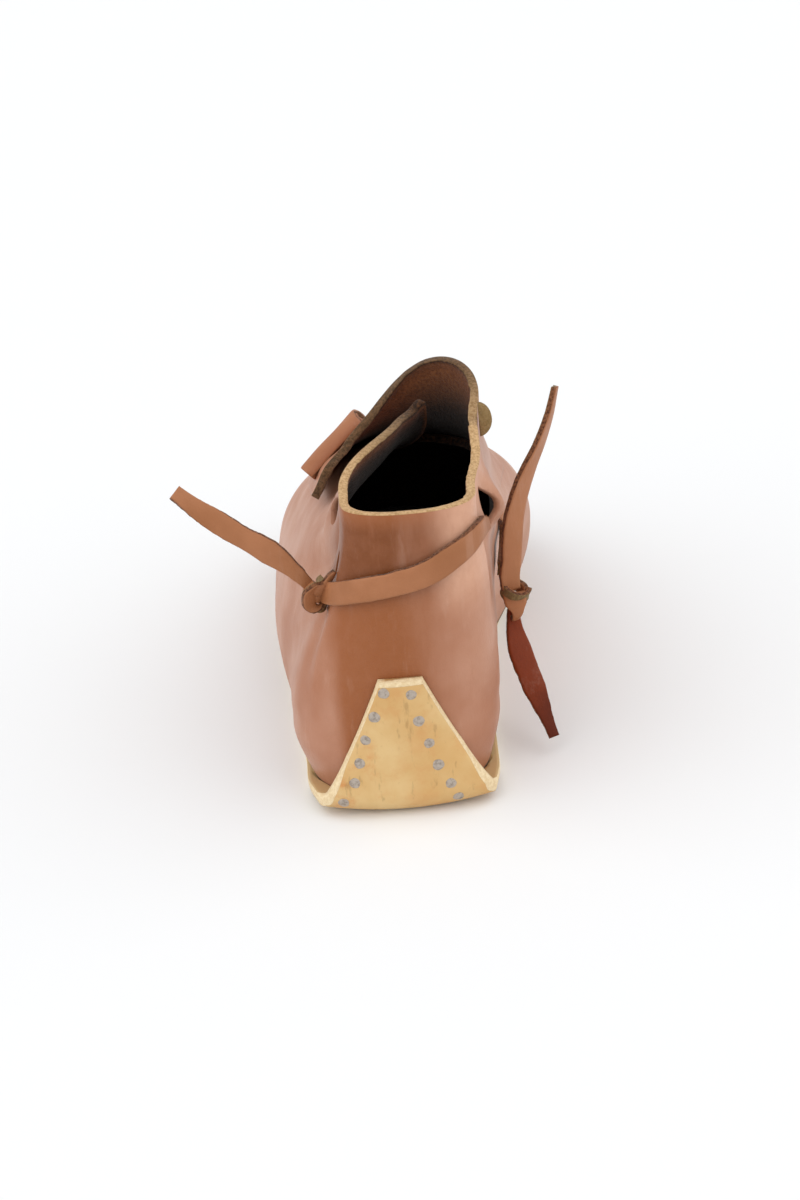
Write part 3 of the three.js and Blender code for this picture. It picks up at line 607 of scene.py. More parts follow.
# Creases, as troughs (negative) and ridges (positive): places as (turn, height), width and depth in mm.
CREASES = [
    (((300, 0.98), (303, 0.88), (312, 0.74)), 5.0, -1.2),
    (((321, 0.80), (322, 0.58), (325, 0.38)), 8.0, -1.6),
    (((329, 0.98), (330, 0.78), (331, 0.50), (334, 0.28)), 7.0, 1.3),
    (((310, 0.84), (302, 0.70), (290, 0.60)), 7.0, -1.8),
    (((314, 0.70), (306, 0.52), (296, 0.38)), 8.0, 1.2),
    (((302, 0.94), (292, 0.80), (282, 0.66)), 8.0, 1.3),
    (((48, 0.92), (44, 0.74), (42, 0.56)), 6.0, 0.7),
    (((56, 0.99), (55, 0.90), (56, 0.80)), 5.0, -1.0),
    (((80, 0.99), (75, 0.88), (77, 0.76)), 10.0, 4.2),
    (((70.5, 1.00), (73, 0.88), (75.5, 0.74)), 5.5, 2.6),
    (((287, 0.98), (285, 0.90), (286, 0.81)), 7.5, 4.6),
    (((84, 0.86), (92, 0.70), (102, 0.56)), 9.0, 1.3),
    (((66, 0.72), (74, 0.60), (86, 0.48)), 8.0, -0.9),
    (((150, 0.62), (180, 0.56), (212, 0.48)), 9.0, -0.9),
    (((146, 0.50), (180, 0.44), (214, 0.38)), 10.0, 0.7),
    (((140, 0.42), (165, 0.34), (190, 0.33)), 9.0, -0.7),
    (((74, 0.14), (64, 0.26), (56, 0.42)), 24.0, 1.6),
    (((20, 0.34), (38, 0.22), (60, 0.16)), 7.0, -0.6),
    (((340, 0.30), (322, 0.20), (300, 0.14)), 7.0, -0.7),
]


def crease_depth(points):
    """How far creases move points out, in metres, faded at their ends."""
    moved = np.zeros(points.shape[:-1])
    for places, width, depth in CREASES:
        line, share = smooth_route(upper_point(*np.array(places, float).T), CREASE_STEP)
        strongest = np.zeros(moved.shape)
        for p, at in zip(line, share):
            distance = np.linalg.norm(points - p, axis=-1)
            fade = math.sin(math.pi * min(max(at, 0.02), 0.98)) ** 0.6
            strongest = np.maximum(strongest, fade * np.exp(-((distance / (width * MM * 0.6)) ** 2)))
        moved += depth * MM * strongest
    return moved


def wavy(points, size, amount, seed):
    """A slow random waviness of the leather's surface."""
    rng = np.random.default_rng(seed)
    total = np.zeros(points.shape[:-1])
    for _ in range(WAVES):
        direction = unit(rng.normal(0, 1, 3))
        rate = 2 * math.pi / size * rng.uniform(0.6, 1.6)
        total += np.sin(points @ direction * rate + rng.uniform(0, 6.28))
    return total * amount / WAVES


def leather_wall(name, turn, height, lift, shift, closed, stain_and_shade, shade_reach, thin=0.0):
    """A leather wall over a grid of turns (columns) and heights (rows), rounded at its upper cut edge.

    stain_and_shade is how dark the cut edge is painted, shade_reach is how far below the rim the flesh
    side darkens as painted shade inside the shoe, and thin is how much is pared off each side."""
    normal = upper_normal(turn, height)
    outer = near_upper(turn, height, lift - thin) + shift
    inner = near_upper(turn, height, lift - WALL + thin) + shift
    relief = crease_depth(outer) + wavy(outer, WAVE_SIZE, WAVE_DEPTH, 4)
    relief = relief * ease((height - SEAT_FROM) / SEAT_RUN)
    outer = outer + normal * relief[..., None]
    inner = inner + normal * relief[..., None]
    columns = outer.shape[1]
    up = np.linspace(0, 1, len(outer))[:, None, None]
    rng = np.random.default_rng(17)
    fuzz = np.convolve(rng.normal(0, RIM_FUZZ, columns + 2), [0.3, 0.4, 0.3], "valid")[:, None]
    inner = inner - normal * (RIM_PARED * ease((up - 0.95) / 0.04) + fuzz * (up == 1))
    rim_out, rim_in = outer[-1], inner[-1]
    rise = unit(outer[-1] - outer[-2]) * WALL * RIM_RISE
    none, some, all_cut = np.zeros(columns), np.full(columns, 0.3), np.ones(columns)
    rows = list(outer)
    flesh = [none] * len(outer)
    cut = [none] * (len(outer) - 1) + [some]
    if closed:
        cut[:2] = [all_cut] * 2
    for angle in np.radians(RIM_ANGLES):
        side = math.copysign(abs(math.cos(angle)) ** RIM_SQUARE, math.cos(angle))
        top = math.sin(angle) ** RIM_SQUARE
        rows.append((rim_out + rim_in) / 2 + (rim_out - rim_in) / 2 * side + rise * top)
        flesh.append(np.full(columns, (1 - side) / 2))
        cut.append(all_cut)
    rows += list(inner[::-1])
    flesh += [np.ones(columns)] * len(inner)
    cut += [some] + [none] * (len(inner) - 1)
    rings = np.stack(rows, 1)
    # Painted shade: the flesh side darkens with its depth below the rim, inside the shoe.
    depth_below = np.linalg.norm(rings - rim_in[:, None], axis=-1)
    stain_and_shade_values = 0.1 + 0.86 * ease(depth_below / shade_reach)
    stain_and_shade_values[:, len(outer) - 1:len(outer) + len(RIM_ANGLES) + 1] = stain_and_shade[:, None]
    # The lowest rows, at the shell's bottom cut edge, are darkened as well.
    stain_and_shade_values[:, :3] = 0.8
    values = {"flesh": np.stack(flesh, 1), "cut": np.stack(cut, 1), "stain_and_shade": stain_and_shade_values}
    obj = ring_mesh(name, rings, values, capped=not closed)
    face_outwards(obj)
    return obj


SHELL_ROUND = 330
SHELL_ROWS = 96
SHELL_SHADE_REACH = 10 * MM
shell_turn = np.tile(np.arange(SHELL_ROUND) * 360 / SHELL_ROUND, (SHELL_ROWS + 1, 1))
# The wall is cut lower where the flap covers it, and rises a little again at turn 215.
under_flap = 0.3 * ease((shell_turn - 98) / 14) * (1 - ease((shell_turn - 200) / 14))
under_flap = under_flap - 0.028 * np.exp(-(((shell_turn - 215) / 9) ** 2))
shell_height = (collar_height(shell_turn) - under_flap) * (np.arange(SHELL_ROWS + 1) / SHELL_ROWS)[:, None]
ring_turn = shell_turn[0]
# Painted shade: the rim's cut edge is near black from turn 106 to 220, where it lies under the flap, and
# lightens again towards turn 296 at the back of the lateral side.
shell_rim_shade = np.where(ring_turn > 180, 1 - ease((ring_turn - 220) / 76), ease((ring_turn - 100) / 6))
upper = leather_wall("upper_shell", shell_turn, shell_height, np.zeros_like(shell_height),
                     tucked(shell_turn, shell_height), True, shell_rim_shade, SHELL_SHADE_REACH)

FLAP_COLUMNS = 150
FLAP_ROWS = 44
FLAP_START = 90
FLAP_FLARE = 4.2 * MM
FLAP_SHADE_REACH = 27 * MM
FLAP_PARED = 0.7 * MM
flap_reach = np.linspace(FLAP_START, FLAP[-1]["turn"], FLAP_COLUMNS + 1)
flap_top = along(FLAP, "turn", "top", flap_reach)
flap_top = np.where(flap_reach < 150, np.maximum(flap_top, collar_height(flap_reach)), flap_top)
flap_top = flap_top - 0.02 * (1 - ease((flap_reach - FLAP_START) / 9))
flap_foot = along(FLAP, "turn", "foot", flap_reach)
flap_up = (np.arange(FLAP_ROWS + 1) / FLAP_ROWS)[:, None]
flap_turn = FLAP_START + (flap_reach - FLAP_START) * (1 - FLAP_SLANT * (1 - flap_up))
flap_height = flap_foot + (flap_top - flap_foot) * flap_up
flap_free = np.maximum(ease(flap_up / 0.5), 0.3 * ease((flap_turn - 178) / 30))
flap_free = flap_free * ease((flap_turn - FLAP_START - 6) / 42)
flap_lift = FLAP_ROOT + (WALL + FLAP_GAP - FLAP_ROOT) * flap_free
flap_flare = ease((flap_reach - 232) / 24) * (1 - 0.4 * ease((flap_reach - 256) / 10))
flap_lift = flap_lift + FLAP_FLARE * flap_flare * ease((flap_up - 0.1) / 0.9)
flap_pared = FLAP_PARED * (1 - ease((flap_reach - FLAP_START) / 14)) + 0 * flap_up
# The flap's cut edge darkens from turn 96 to turn 146.
flap_edge_darkening = 0.2 + 0.66 * ease((flap_reach - 96) / 50)
flap_shift = np.zeros((*flap_height.shape, 3))
flap = leather_wall("upper_flap", flap_turn, flap_height, flap_lift, flap_shift, False, flap_edge_darkening,
                    FLAP_SHADE_REACH, flap_pared)


def bake(obj):
    """Gives a piece the mesh that its modifiers make, and drops the mesh it had."""
    bpy.context.view_layer.update()
    old = obj.data
    result = bpy.data.meshes.new_from_object(obj.evaluated_get(bpy.context.evaluated_depsgraph_get()))
    obj.modifiers.clear()
    obj.data = result
    bpy.data.meshes.remove(old)


def carve(obj, cutter):
    """Cuts a closed body out of a piece and drops the body."""
    cut = obj.modifiers.new("cut", "BOOLEAN")
    cut.operation = "DIFFERENCE"
    cut.object = cutter
    cut.solver = "EXACT"
    bake(obj)
    bpy.data.objects.remove(cutter)


MEDIAL_SLIT = dict(turn=68.3, height=0.865, lean=1.0, long=29 * MM, wide=6.6 * MM)
LATERAL_SLIT = dict(turn=291.5, height=0.90, lean=0, long=15 * MM, wide=7.5 * MM)
LATERAL_HOLE = dict(turn=322, height=0.80, lean=0, long=12 * MM, wide=3.6 * MM)
LENS_POINTS = 28
LENS_REACH = 7 * MM
LENS_SHARPNESS = 1.6


def lens_cutter(turn, height, lean, long, wide):
    """A closed lens that cuts through the wall, pointed at both ends. Its foot lies lean degrees ahead."""
    at = upper_point(turn, height)
    out = upper_normal(turn, height)
    up = unit(upper_point(turn - lean / 2, height + 0.03) - upper_point(turn + lean / 2, height - 0.03))
    across = unit(np.cross(up, out))
    angles = np.linspace(0, 2 * math.pi, LENS_POINTS, endpoint=False)[:, None]
    side = np.copysign(abs(np.cos(angles)) ** LENS_SHARPNESS, np.cos(angles))
    outline = at + up * np.sin(angles) * long / 2 + across * side * wide / 2
    rings = np.array([outline - out * LENS_REACH, outline + out * LENS_REACH])
    whole = np.ones(rings.shape[:2])
    cutter = ring_mesh("cutter", rings, {"flesh": whole, "cut": whole, "stain_and_shade": 0.3 * whole})
    face_outwards(cutter)
    return cutter


for opening in (MEDIAL_SLIT, LATERAL_SLIT, LATERAL_HOLE):
    carve(upper, lens_cutter(**opening))


def heel_tan(s, base, x, y, z):
    """The centre of the heel is handled and burnished to a deeper orange brown, and the sides stay pale.
    A paler patch on the upper right flank is a painted highlight.
    """
    streaks = s.maths("SUBTRACT", s.noise(60, 4, 0.6, s.stretched((1, 1, 0.25))), 0.5)
    left = s.span(s.maths("ADD", x, s.times(streaks, 0.008)), -0.0275, -0.0195)
    right = s.span(s.maths("ADD", x, s.times(streaks, 0.025)), 0.001, 0.026, 1.0, 0.0)
    behind = s.span(y, -0.012, 0.03, 1.0, 0.0)
    amount = s.times(s.times(s.times(left, right), behind), 0.9)
    pale = s.span(s.noise(9, 2), 0.42, 0.68, 0.0, 0.32)
    side = s.mix(pale, base, colour("#ca987b"))
    # Painted highlight: a paler patch on the right flank, from 12 mm right of the middle outwards and above
    # 70 mm, where the side light falls.
    painted_highlight = s.times(s.span(x, 0.012, 0.024, 0.0, 0.65), s.span(z, 0.07, 0.095))
    side = s.mix(s.times(painted_highlight, behind), side, colour("#e0b094"))
    deeper = s.times(s.span(z, 0.082, 0.098), s.span(z, 0.112, 0.121, 0.9, 0.0))
    tan = s.mix(deeper, colour("#93542a"), colour("#6e3606"))
    return s.mix(amount, side, tan)


UPPER_FLESH = ("#68381c", "#87512c", "#b18a5b", "#d6b182")
upper_leather = leather("upper leather", "#b5836a", "#a56d50", UPPER_FLESH, 0.4, heel_tan)
for piece in (upper, flap):
    piece.data.materials.clear()
    piece.data.materials.append(upper_leather)
    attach(piece, "root")
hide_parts("upper")

# Sole
# One plate of thick sole leather. Its heel end is wetted, folded up behind the heel and tacked there, so
# the grain side faces back and the pale cut edge sweeps from the riser into the plate.
FOLD_RADIUS = 10 * MM
RISER_HEIGHT = 56.5 * MM
RISER_TOP_WIDTH = 16.5 * MM
RISER_BASE_WIDTH = 63 * MM
RISER_FLARE = 3 * MM
TOE_END = LENGTH - 0.5 * MM
TOE_START = 0.035
PLATE_STATIONS, FOLD_STATIONS, RISER_STATIONS = 120, 20, 80
BEVEL = 0.7 * MM
FOLD_BEVEL = 3.0 * MM
TOP_BEVEL = 0.8 * MM
FLAT_CURL = 150 * MM
RISER_CURL = 48 * MM
CURL_RUN = 22 * MM
SOLE_ACROSS = 60
SMUDGE_AT = (-0.022, -0.032, 0.018)
EDGE = [(0.88, 0.05), (0.45, 0.24), (0.12, 0.42), (0.0, 0.6), (0.0, 0.9), (0.3, 0.99)]
SOLE_WIDTHS = [dict(zip(("at", "medial", "lateral"), row)) for row in (
    (0.00, 0.290, 0.292),
    (0.07, 0.322, 0.348),
    (0.16, 0.330, 0.362),
    (0.42, 0.338, 0.420),
    (0.70, 0.480, 0.480),
)]


def sole_half(side, share):
    """The plate's width to one side of its middle line, as a share of BALL_WIDTH."""
    out = min(max((share - BALL_AT) / (1 - BALL_AT), 0), 1)
    return float(along(SOLE_WIDTHS, "at", side, share)) * (1 - out**FRONT_POWER) ** (1 / FRONT_POWER)


def sole_station(kind, t):
    """A place on the sole's middle line: the outer face, the way into the leather and the widths."""
    if kind == "plate":
        forward = FOLD_RADIUS + (TOE_END - FOLD_RADIUS) * math.cos(math.pi / 2 * t)
        share = forward / LENGTH
        return dict(y=forward, z=float(spring(forward)), in_y=0, in_z=1,
                    middle=BALL_WIDTH * 0.07 * share * share,
                    medial=BALL_WIDTH * sole_half("medial", share),
                    lateral=BALL_WIDTH * sole_half("lateral", share),
                    curl=float(1 - ease((forward - FOLD_RADIUS) / (2.5 * FOLD_RADIUS))))
    if kind == "fold":
        angle = math.pi / 2 * t
        base = {side: BALL_WIDTH * sole_half(side, FOLD_RADIUS / LENGTH) for side in ("medial", "lateral")}
        return dict(y=FOLD_RADIUS * (1 - math.sin(angle)), z=FOLD_RADIUS * (1 - math.cos(angle)),
                    in_y=math.sin(angle), in_z=math.cos(angle), middle=0, curl=1,
                    medial=base["medial"] + (RISER_BASE_WIDTH / 2 - base["medial"]) * t,
                    lateral=base["lateral"] + (RISER_BASE_WIDTH / 2 - base["lateral"]) * t)
    up = FOLD_RADIUS + (RISER_HEIGHT - FOLD_RADIUS) * t
    straight = RISER_BASE_WIDTH / 2 - RISER_FLARE
    half = straight + (RISER_TOP_WIDTH / 2 - straight) * t + RISER_FLARE * (1 - t) ** 4
    return dict(y=1.5 * MM * t, z=up, in_y=1, in_z=0, middle=0, medial=half, lateral=half, curl=1)


def sole_point(station, across, depth):
    """A point of the sole at a share of its width and a depth in the leather, on the curled heel too."""
    x = across * (station["medial"] if across >= 0 else station["lateral"])
    radius = FLAT_CURL + (RISER_CURL - FLAT_CURL) * float(ease((station["z"] - FOLD_RADIUS) / CURL_RUN))
    inwards = depth + station["curl"] * x * x / (2 * radius)
    return np.array([station["middle"] + x, station["y"] + inwards * station["in_y"] - HEEL_CENTRE,
                     station["z"] + inwards * station["in_z"]])


stations = [sole_station("plate", t) for t in np.linspace(TOE_START, 1, PLATE_STATIONS)]
stations += [sole_station("fold", t) for t in np.linspace(0, 1, FOLD_STATIONS)[1:]]
stations += [sole_station("riser", t) for t in np.linspace(0, 1, RISER_STATIONS)[1:]]
sole_rings = []
for station in stations:
    half = max(station["medial"], station["lateral"], 4 * MM)
    bend = float(ease(station["z"] / (6 * MM)))
    low = float(1 - ease((station["z"] - 9 * MM) / (15 * MM)))
    bevel = max(BEVEL + (FOLD_BEVEL - BEVEL) * low * bend * (station["curl"] > 0), BEVEL) / half
    top = TOP_BEVEL * float(ease((station["z"] - RISER_HEIGHT) / (2 * TOP_BEVEL) + 1))
    outer = np.linspace(-1 + bevel, 1 - bevel, SOLE_ACROSS)
    inner = np.linspace(1 - 0.3 * bevel, -1 + 0.3 * bevel, SOLE_ACROSS)
    ring = [sole_point(station, a, top) for a in outer]
    ring += [sole_point(station, 1 - inset * bevel, max(d * SOLE_THICKNESS, top)) for inset, d in EDGE]
    ring += [sole_point(station, a, SOLE_THICKNESS) for a in inner]
    ring += [sole_point(station, inset * bevel - 1, max(d * SOLE_THICKNESS, top)) for inset, d in EDGE[::-1]]
    sole_rings.append(ring)
face, side = [0.0] * SOLE_ACROSS, [1.0] * len(EDGE)
edge_cut = np.tile(face + side + face + side, (len(stations), 1))
back, side = [1.0] * SOLE_ACROSS, [0.3] * len(EDGE)
edge_flesh = np.tile(face + side + back + side, (len(stations), 1))
edge_cut[-3:] = 1
edge_flesh[-3:] = 0
sole = ring_mesh("sole_plate", np.array(sole_rings), {"cut": edge_cut, "flesh": edge_flesh})
face_outwards(sole)

# The room for the upper's foot is cut out of the plate and riser.
ROOM_TURNS = np.arange(0, 360, 3.0)
room_heights = np.array([0, 0.04, 0.1, 0.16, 0.22, 0.3, 0.38, 0.46, 0.54])[:, None]
room_rings = near_upper(ROOM_TURNS, room_heights, CLEARANCE + 0.1 * MM)
room_rings[0, :, 2] -= 0.9 * CLEARANCE
room_sides = room_rings.shape[:2]
room = ring_mesh("room", room_rings, {"flesh": np.ones(room_sides), "cut": np.zeros(room_sides)})
face_outwards(room)
carve(sole, room)


def sole_material():
    """Undyed sole leather: yellow cream grain side with handling marks, and a lighter layered cut edge."""
    s = Shader("sole leather")
    cloud = s.noise(38, 4)
    blotch = s.noise(90, 5, 0.65)
    fine = s.noise(500, 4, 0.6)
    face = s.mix(s.span(cloud, 0.3, 0.7), colour("#dcbc85"), colour("#d0a66b"))
    smudge = s.node("ShaderNodeVectorMath", {0: s.place, 1: SMUDGE_AT}, operation="DISTANCE")
    near_smudge = s.span(smudge.outputs["Value"], 0.006, 0.02, 0.85, 0.25)
    face = s.mix(s.times(s.span(blotch, 0.46, 0.68), near_smudge), face, colour("#cb8447"))
    face = s.mix(s.span(fine, 0.62, 0.8, 0.0, 0.4), face, colour("#a07a4a"))
    scratches = s.noise(340, 3, 0.6, s.stretched((1, 1, 0.3)))
    face = s.mix(s.span(scratches, 0.6, 0.74, 0.0, 0.35), face, colour("#8d6a3c"))
    layers = s.noise(700, 3, 0.7)
    cut = s.mix(s.span(layers, 0.35, 0.65), colour("#ead5ae"), colour("#dbc195"))
    edge = s.span(s.attribute("cut"), 0.3, 0.7)
    base = s.mix(edge, s.mix(s.attribute("flesh"), face, colour("#c9a878")), cut)
    normal = s.bump(fine, 0.0004, 0.35)
    normal = s.bump(s.times(layers, edge), 0.0006, 0.6, normal)
    return s.finish(base, s.span(cloud, 0.3, 0.7, 0.55, 0.68), normal, **{"Specular IOR Level": 0.35})


sole.data.materials.clear()
sole.data.materials.append(sole_material())
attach(sole, "root")
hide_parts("sole")

# Insole
# A thin grey felt lies on the sole inside the upper. It is cut to the upper's inner outline with a little
# play, and its upper edge is slightly rounded.
INSOLE_PLAY = 0.9 * MM
INSOLE_THICKNESS = 2 * MM
INSOLE_ROUND = 0.3 * MM


def insole_material():
    s = Shader("insole felt")
    felt = s.noise(1400, 4, 0.7)
    tone = s.mix(s.span(felt, 0.3, 0.7), colour("#8c8a80"), colour("#6f6d64"))
    return s.finish(tone, 0.95, s.bump(felt, 0.0006, 0.8), **{"Sheen Weight": 0.3})


def insole_ring(share, height):
    """A ring of the insole at a share of the way from its middle to its edge."""
    edge = near_upper(ROOM_TURNS, 0 * ROOM_TURNS, -WALL - INSOLE_PLAY)
    middle = np.array([0.03 * BALL_WIDTH, 0.5 * LENGTH - HEEL_CENTRE])
    x, y = (middle + (edge[:, :2] - middle) * share).T
    return np.stack([x, y, FEATHER + height + spring(y + HEEL_CENTRE)], -1)


insole_rings = [insole_ring(share, 0) for share in (0.02, 0.5, 0.97, 1)]
insole_rings.append(insole_ring(1, INSOLE_THICKNESS - INSOLE_ROUND))
insole_rings += [insole_ring(share, INSOLE_THICKNESS) for share in (0.99, 0.9, 0.75, 0.6, 0.4, 0.2, 0.02)]
insole = ring_mesh("insole_felt", np.array(insole_rings))
face_outwards(insole)
insole.data.materials.append(insole_material())
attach(insole, "root")
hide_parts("insole")

# Tacks
# Thirty-four small steel tacks hold the riser and the edge of the plate. Each hammered head is set by a
# Geometry Nodes tree on its own point, turned to the leather and a little uneven.
TACK_DIAMETER = 4.2 * MM
TACK_SMALLEST, TACK_LARGEST = 0.98, 1.1
TURN_SEED, SIZE_SEED = 5, 9
FULL_TURN = 6.28
RISER_TACK_COLUMNS = ("kind", "lateral_at", "lateral", "medial_at", "medial")
RISER_TACKS = [dict(zip(RISER_TACK_COLUMNS, row)) for row in (
    ("riser", 0.92, 3.3, 0.89, 6.9),
    ("riser", 0.71, 3.3, 0.65, 9.8),
    ("riser", 0.50, 3.6, 0.44, 11.1),
    ("riser", 0.30, 5.2, 0.24, 13.1),
    ("riser", 0.13, 7.1, 0.06, 13.9),
    ("fold", 0.80, 6.9, 0.72, 14.0),
)]
PLATE_TACKS = 11
PLATE_TACKS_FROM = 0.24
PLATE_TACKS_OVER = 0.7
TACK_INSET = 7 * MM
HEAD_SIDES = 20
HEAD_ROWS = ((0.6, 0.21), (0.88, 0.16), (0.98, 0.04), (1.0, -0.15), (0.9, -0.9))


def tack_at(station, across):
    """A tack's place on the outer face and the direction out of the leather."""
    at = sole_point(station, across, 0)
    side = sole_point(station, across + 0.02, 0) - sole_point(station, across - 0.02, 0)
    ahead = dict(station, y=station["y"] - station["in_z"] * MM, z=station["z"] + station["in_y"] * MM)
    out = unit(np.cross(side, sole_point(ahead, across, 0) - at))
    inwards = np.array([0, station["in_y"], station["in_z"]])
    return at, out if out @ inwards < 0 else -out


tack_places = []
for row in RISER_TACKS:
    lateral = sole_station(row["kind"], row["lateral_at"])
    medial = sole_station(row["kind"], row["medial_at"])
    tack_places.append(tack_at(lateral, row["lateral"] * MM / lateral["lateral"] - 1))
    tack_places.append(tack_at(medial, 1 - row["medial"] * MM / medial["medial"]))
for i in range(PLATE_TACKS):
    station = sole_station("plate", PLATE_TACKS_FROM + PLATE_TACKS_OVER * i / (PLATE_TACKS - 1))
    for side in (-1, 1):
        half = station["medial"] if side > 0 else station["lateral"]
        tack_places.append(tack_at(station, side * (1 - TACK_INSET / half)))


def tack_head():
    """One flat, slightly domed head, its top towards +Z, through rows of (radius share, height in mm)."""
    a = np.arange(HEAD_SIDES) * 2 * math.pi / HEAD_SIDES
    uneven = TACK_DIAMETER / 2 * (1 + 0.03 * np.sin(3 * a + 1) + 0.02 * np.sin(5 * a))
    outline = np.stack([uneven * np.cos(a), uneven * np.sin(a), 0 * a], -1)
    rings = [outline * radius + np.array([0, 0, z * MM]) for radius, z in HEAD_ROWS]
    obj = ring_mesh("tack_head", np.array(rings))
    face_outwards(obj)
    return obj


def tack_steel_material():
    s = Shader("tack steel")
    spots = s.noise(700, 4, 0.6)
    tone = s.mix(s.span(spots, 0.4, 0.72), colour("#b3a79b"), colour("#877b70"))
    return s.finish(tone, s.span(spots, 0.3, 0.7, 0.42, 0.6), s.bump(spots, 0.0002, 0.35), Metallic=0.2)


def tack_tree(head, material):
    """Puts a head on each point, along its stored direction and turned and sized at random."""
    tree = bpy.data.node_groups.new("tacks", "GeometryNodeTree")
    tree.interface.new_socket("Geometry", in_out="INPUT", socket_type="NodeSocketGeometry")
    low = tree.interface.new_socket("Smallest", in_out="INPUT", socket_type="NodeSocketFloat")
    high = tree.interface.new_socket("Largest", in_out="INPUT", socket_type="NodeSocketFloat")
    tree.interface.new_socket("Geometry", in_out="OUTPUT", socket_type="NodeSocketGeometry")
    add = tree.nodes.new
    source, result = add("NodeGroupInput"), add("NodeGroupOutput")
    info = add("GeometryNodeObjectInfo")
    info.inputs["Object"].default_value = head
    direction = add("GeometryNodeInputNamedAttribute")
    direction.data_type = "FLOAT_VECTOR"
    direction.inputs["Name"].default_value = "out"
    align = add("FunctionNodeAlignRotationToVector")
    align.axis = "Z"
    turn = add("FunctionNodeRandomValue")
    turn.inputs[3].default_value = FULL_TURN
    turn.inputs["Seed"].default_value = TURN_SEED
    spin = add("FunctionNodeAxisAngleToRotation")
    spin.inputs["Axis"].default_value = (0, 0, 1)
    twist = add("FunctionNodeRotateRotation")
    twist.rotation_space = "LOCAL"
    size = add("FunctionNodeRandomValue")
    size.inputs["Seed"].default_value = SIZE_SEED
    scatter = add("GeometryNodeInstanceOnPoints")
    realize = add("GeometryNodeRealizeInstances")
    paint = add("GeometryNodeSetMaterial")
    paint.inputs["Material"].default_value = material
    for start, output, end, entry in (
        (source, "Geometry", scatter, "Points"),
        (info, "Geometry", scatter, "Instance"),
        (direction, "Attribute", align, "Vector"),
        (turn, 1, spin, "Angle"),
        (align, "Rotation", twist, "Rotation"),
        (spin, "Rotation", twist, "Rotate By"),
        (twist, "Rotation", scatter, "Rotation"),
        (source, "Smallest", size, 2),
        (source, "Largest", size, 3),
        (size, 1, scatter, "Scale"),
        (scatter, "Instances", realize, "Geometry"),
        (realize, "Geometry", paint, "Geometry"),
        (paint, "Geometry", result, "Geometry"),
    ):
        tree.links.new(start.outputs[output], end.inputs[entry])
    return tree, low.identifier, high.identifier


head = tack_head()
tacks = add_mesh("tacks", [place.tolist() for place, _ in tack_places], [])
directions = tacks.data.attributes.new("out", "FLOAT_VECTOR", "POINT")
directions.data.foreach_set("vector", np.array([out for _, out in tack_places]).ravel())
tree, smallest, largest = tack_tree(head, tack_steel_material())
grow = tacks.modifiers.new("tacks", "NODES")
grow.node_group = tree
grow[smallest] = TACK_SMALLEST
grow[largest] = TACK_LARGEST
bake(tacks)
bpy.data.objects.remove(head)
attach(tacks, "root")
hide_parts(*[f"tack_{i + 1:02d}" for i in range(len(tack_places))])

# Strip round the heel
# The thong comes out of the lateral hole, lies round the back of the heel and goes in at the medial slit,
# narrowing there. A short run comes out below the slit and down to the right knot.
THONG_STAND = CLEARANCE + THONG_THICKNESS / 2 + 0.5 * MM
BACK_WIDTH = 9.2 * MM
SIDE_WIDTH = 7 * MM
BACK_THONG = [dict(zip(("turn", "height"), row)) for row in (
    (-38, 0.690),
    (-29, 0.715),
    (-20, 0.742),
    (-11, 0.762),
    (-2, 0.780),
    (6, 0.808),
    (14, 0.842),
    (23, 0.868),
    (33, 0.888),
    (40, 0.885),
    (46, 0.871),
    (52, 0.850),
    (59, 0.824),
    (67, 0.798),
)]


def back_width(share):
    """The strip narrows in two steps towards the medial slit."""
    return 1 - 0.24 * ease((share - 0.55) / 0.25) - 0.3 * ease((share - 0.82) / 0.18)


back_turns = np.linspace(-39, 65.5, 46)
back_heights = along(BACK_THONG, "turn", "height", back_turns)
stand = THONG_STAND - 1.8 * MM * ease((back_turns - 60) / 6)
back_points = near_upper(back_turns, back_heights, stand)
back_up = upper_point(back_turns, back_heights + 0.03) - upper_point(back_turns, back_heights - 0.03)
back_across = -unit(back_up) * MM
thong_back, _ = strap("thong_round_heel", back_points, back_across, BACK_WIDTH, seed=11, tip=back_width)

# Places as turn and height, with how far the strip stands off the upper there in mm.
SIDE_THONG = [
    (87, 0.700, -2.0), (87, 0.670, 0.9), (86, 0.620, 1.7),
    (83, 0.570, 1.9), (78, 0.525, 2.2), (71, 0.495, 2.6),
]
side_turns, side_heights, side_stand = np.array(SIDE_THONG).T
side_points = near_upper(side_turns, side_heights, side_stand * MM)
side_across = np.cross(upper_normal(side_turns, side_heights), np.gradient(side_points, axis=0))
thong_side, _ = strap("thong_at_side", side_points, unit(side_across) * MM, SIDE_WIDTH, seed=12, face=-1)
for piece, node in ((thong_back, "thong_back"), (thong_side, "thong_side")):
    piece.data.materials.append(thong_leather)
    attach(piece, "root")
    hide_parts(node)

# Toggle
# A strip of the upper's leather rolled into a short bar lies on the flap and holds it shut. Its ends are
# cut aslant, so that the hollow of the roll shows at the upper one.
TOGGLE_LENGTH = 36 * MM
TOGGLE_DIAMETER = 9.6 * MM
TOGGLE_SEAM = math.radians(235)
TOGGLE_STAND = WALL + FLAP_GAP + TOGGLE_DIAMETER / 2 + CLEARANCE + 0.4 * MM
TOGGLE_HIGH = (202, 0.915)
TOGGLE_LOW = (256, 0.800)
TOGGLE_MIDDLE = (229, 0.8875)
TOGGLE_SHIFT = (1.4 * MM, -2.3 * MM)
TOGGLE_STEPS = 34
ROLL_TURNS = 1.3
ROLL_PITCH = 1.8 * MM
ROLL_THICKNESS = 1.5 * MM
ROLL_POINTS = 54
ROLL_WOBBLE = 0.2 * MM
HIGH_CANT, LOW_CANT = 1.1, 0.6
CANT_FROM, CANT_RUN = 0.36, 0.14
toggle_at = near_upper(*TOGGLE_MIDDLE, TOGGLE_STAND)
